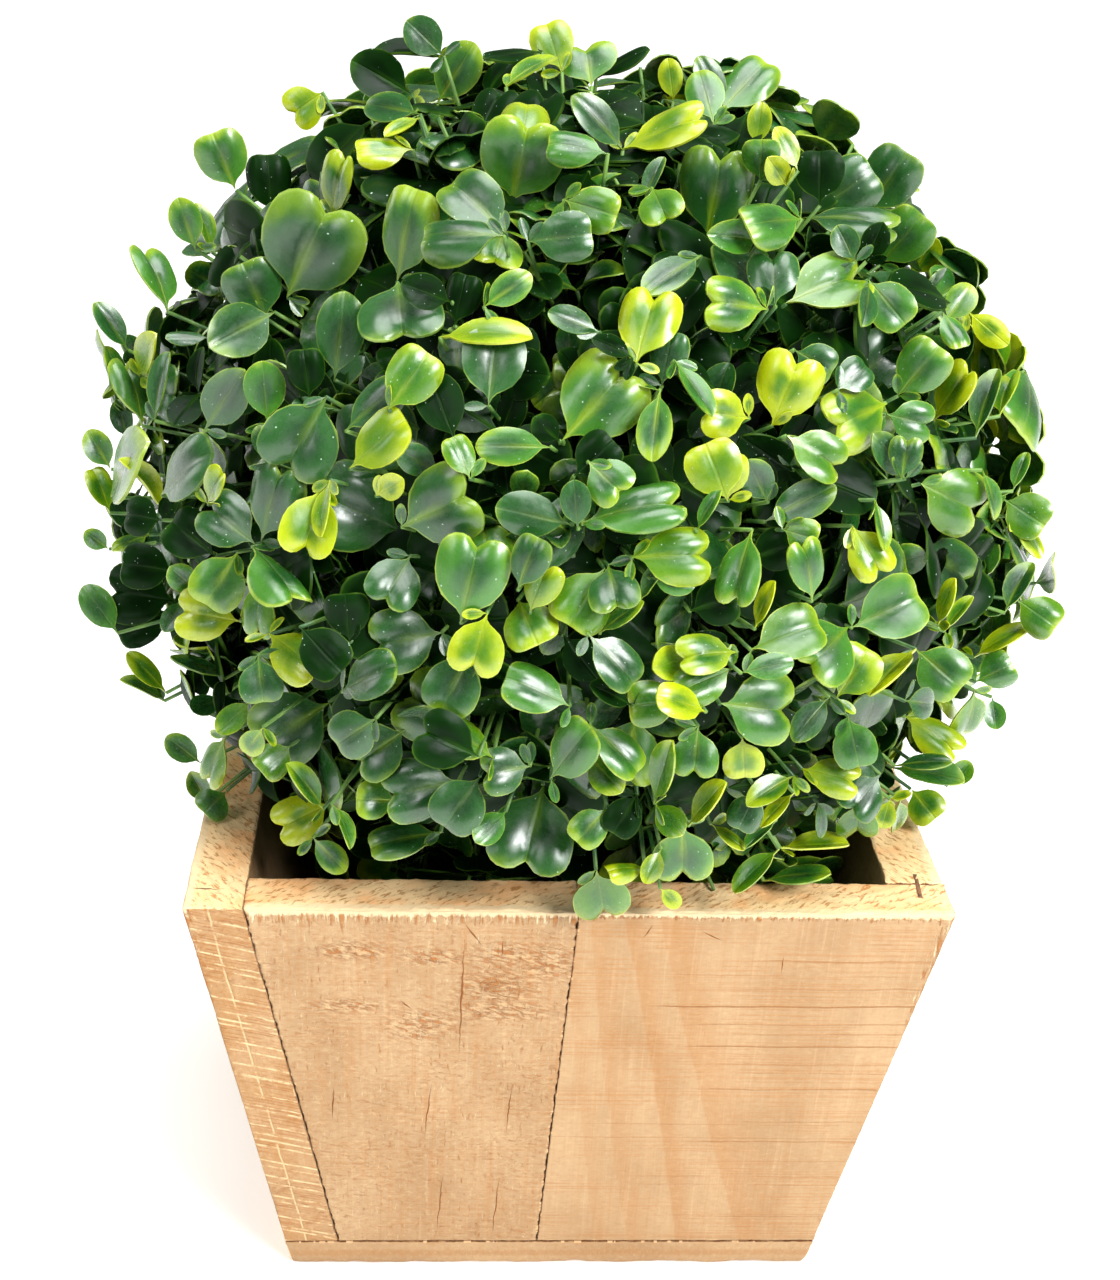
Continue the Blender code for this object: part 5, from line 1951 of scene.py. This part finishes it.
FLOOR_HALF = 6.0
FLOOR_GAP = 0.2 * MM
TABLE_GLOW = 0.22
WORLD_STRENGTH = 0.18
# Round lamps: name, place, width, and power as a share of the key power
LAMPS = (
    ("key", (0.66, -0.86, 0.92), 0.55, 1.24),
    ("left", (-0.75, -0.80, 0.95), 0.60, 0.26),
    ("top", (0.05, -0.12, 1.25), 0.90, 0.88),
    ("side", (-1.30, 0.55, 0.50), 0.80, 0.24),
)
LAMPS_AIM = Vector((0, 0, 0.13))
BACKDROP_PLACE = (0.0, 2.6, 2.2)
BACKDROP_SIZE = (5.0, 3.0)
BACKDROP_POWER = 5.6


class TOPIARY_OT_stage(bpy.types.Operator):
    """Makes the pale floor, the soft lights and the camera"""

    bl_idname = "topiary.stage"
    bl_label = "Stage"

    def execute(self, context):
        settings = context.scene.topiary_stage
        self.floor(settings)
        self.lights(settings)
        self.camera(settings)
        return {"FINISHED"}

    def floor(self, settings):
        bm = bmesh.new()
        bmesh.ops.create_grid(bm, x_segments=2, y_segments=2, size=FLOOR_HALF)
        mesh = mesh_of(bm, "floor")
        # A frosted acrylic shooting table, lit a little from below so that shadows stay faint
        shader = Shader("lit_frosted_acrylic")
        # Its glow is faint and even, so it needn't be sampled as a lamp.
        shader.material.cycles.emission_sampling = "NONE"
        mesh.materials.append(
            shader.finish(
                Base_Color=tuple(settings.floor),
                Roughness=0.9,
                Specular_IOR_Level=0.1,
                Emission_Color=tuple(settings.floor),
                Emission_Strength=TABLE_GLOW,
            )
        )
        made = linked("floor", mesh)
        made.location.z = -FLOOR_GAP

    def lights(self, settings):
        world = bpy.data.worlds.new("studio")
        world.use_nodes = True
        background = world.node_tree.nodes["Background"]
        background.inputs["Color"].default_value = linear("#FFFFFF")
        background.inputs["Strength"].default_value = WORLD_STRENGTH
        bpy.context.scene.world = world
        for name, place, size, power in LAMPS:
            data = bpy.data.lights.new(name, "AREA")
            data.shape = "DISK"
            data.size = size
            data.energy = settings.key_power * power
            made = linked(name, data)
            made.location = place
            made.rotation_euler = (LAMPS_AIM - Vector(place)).to_track_quat("-Z", "Y").to_euler()
        data = bpy.data.lights.new("backdrop", "AREA")
        data.shape = "RECTANGLE"
        data.size, data.size_y = BACKDROP_SIZE
        data.energy = settings.key_power * BACKDROP_POWER
        made = linked("backdrop", data)
        made.location = BACKDROP_PLACE
        # It lights the table, and leaves no film on the leaves.
        made.visible_glossy = False
        bpy.context.scene.view_settings.view_transform = "Standard"

    def camera(self, settings):
        right, up, forward = camera_axes()
        data = bpy.data.cameras.new("camera")
        data.lens = settings.focal_length
        data.sensor_width = 36.0
        data.sensor_fit = "AUTO"
        data.clip_start = 0.01
        made = linked("camera", data)
        turn = Matrix((right, up, -forward)).transposed()
        made.matrix_world = Matrix.Translation(CAMERA_PLACE) @ turn.to_4x4()
        bpy.context.scene.camera = made


class TOPIARY_PT_panel(bpy.types.Panel):
    """Lists the pieces and their settings"""

    bl_idname = "TOPIARY_PT_panel"
    bl_label = "Box topiary ball"
    bl_space_type = "VIEW_3D"
    bl_region_type = "UI"
    bl_category = "Topiary"

    def draw(self, context):
        layout = self.layout
        for operator, group in (
            (TOPIARY_OT_pot, "topiary_pot"),
            (TOPIARY_OT_foliage, "topiary_foliage"),
            (TOPIARY_OT_inside, None),
            (TOPIARY_OT_stage, "topiary_stage"),
        ):
            layout.operator(operator.bl_idname)
            if group:
                settings = getattr(context.scene, group)
                for key in settings.__annotations__:
                    layout.prop(settings, key)


CLASSES = (
    PotSettings,
    FoliageSettings,
    StageSettings,
    TOPIARY_OT_pot,
    TOPIARY_OT_foliage,
    TOPIARY_OT_inside,
    TOPIARY_OT_stage,
    TOPIARY_PT_panel,
)


def register():
    for cls in CLASSES:
        bpy.utils.register_class(cls)
    bpy.types.Scene.topiary_pot = bpy.props.PointerProperty(type=PotSettings)
    bpy.types.Scene.topiary_foliage = bpy.props.PointerProperty(type=FoliageSettings)
    bpy.types.Scene.topiary_stage = bpy.props.PointerProperty(type=StageSettings)


def unregister():
    del bpy.types.Scene.topiary_stage
    del bpy.types.Scene.topiary_foliage
    del bpy.types.Scene.topiary_pot
    for cls in reversed(CLASSES):
        bpy.utils.unregister_class(cls)


def main():
    register()
    bpy.ops.topiary.pot()
    bpy.ops.topiary.inside()
    bpy.ops.topiary.foliage()
    bpy.ops.topiary.stage()


if __name__ == "__main__":
    main()
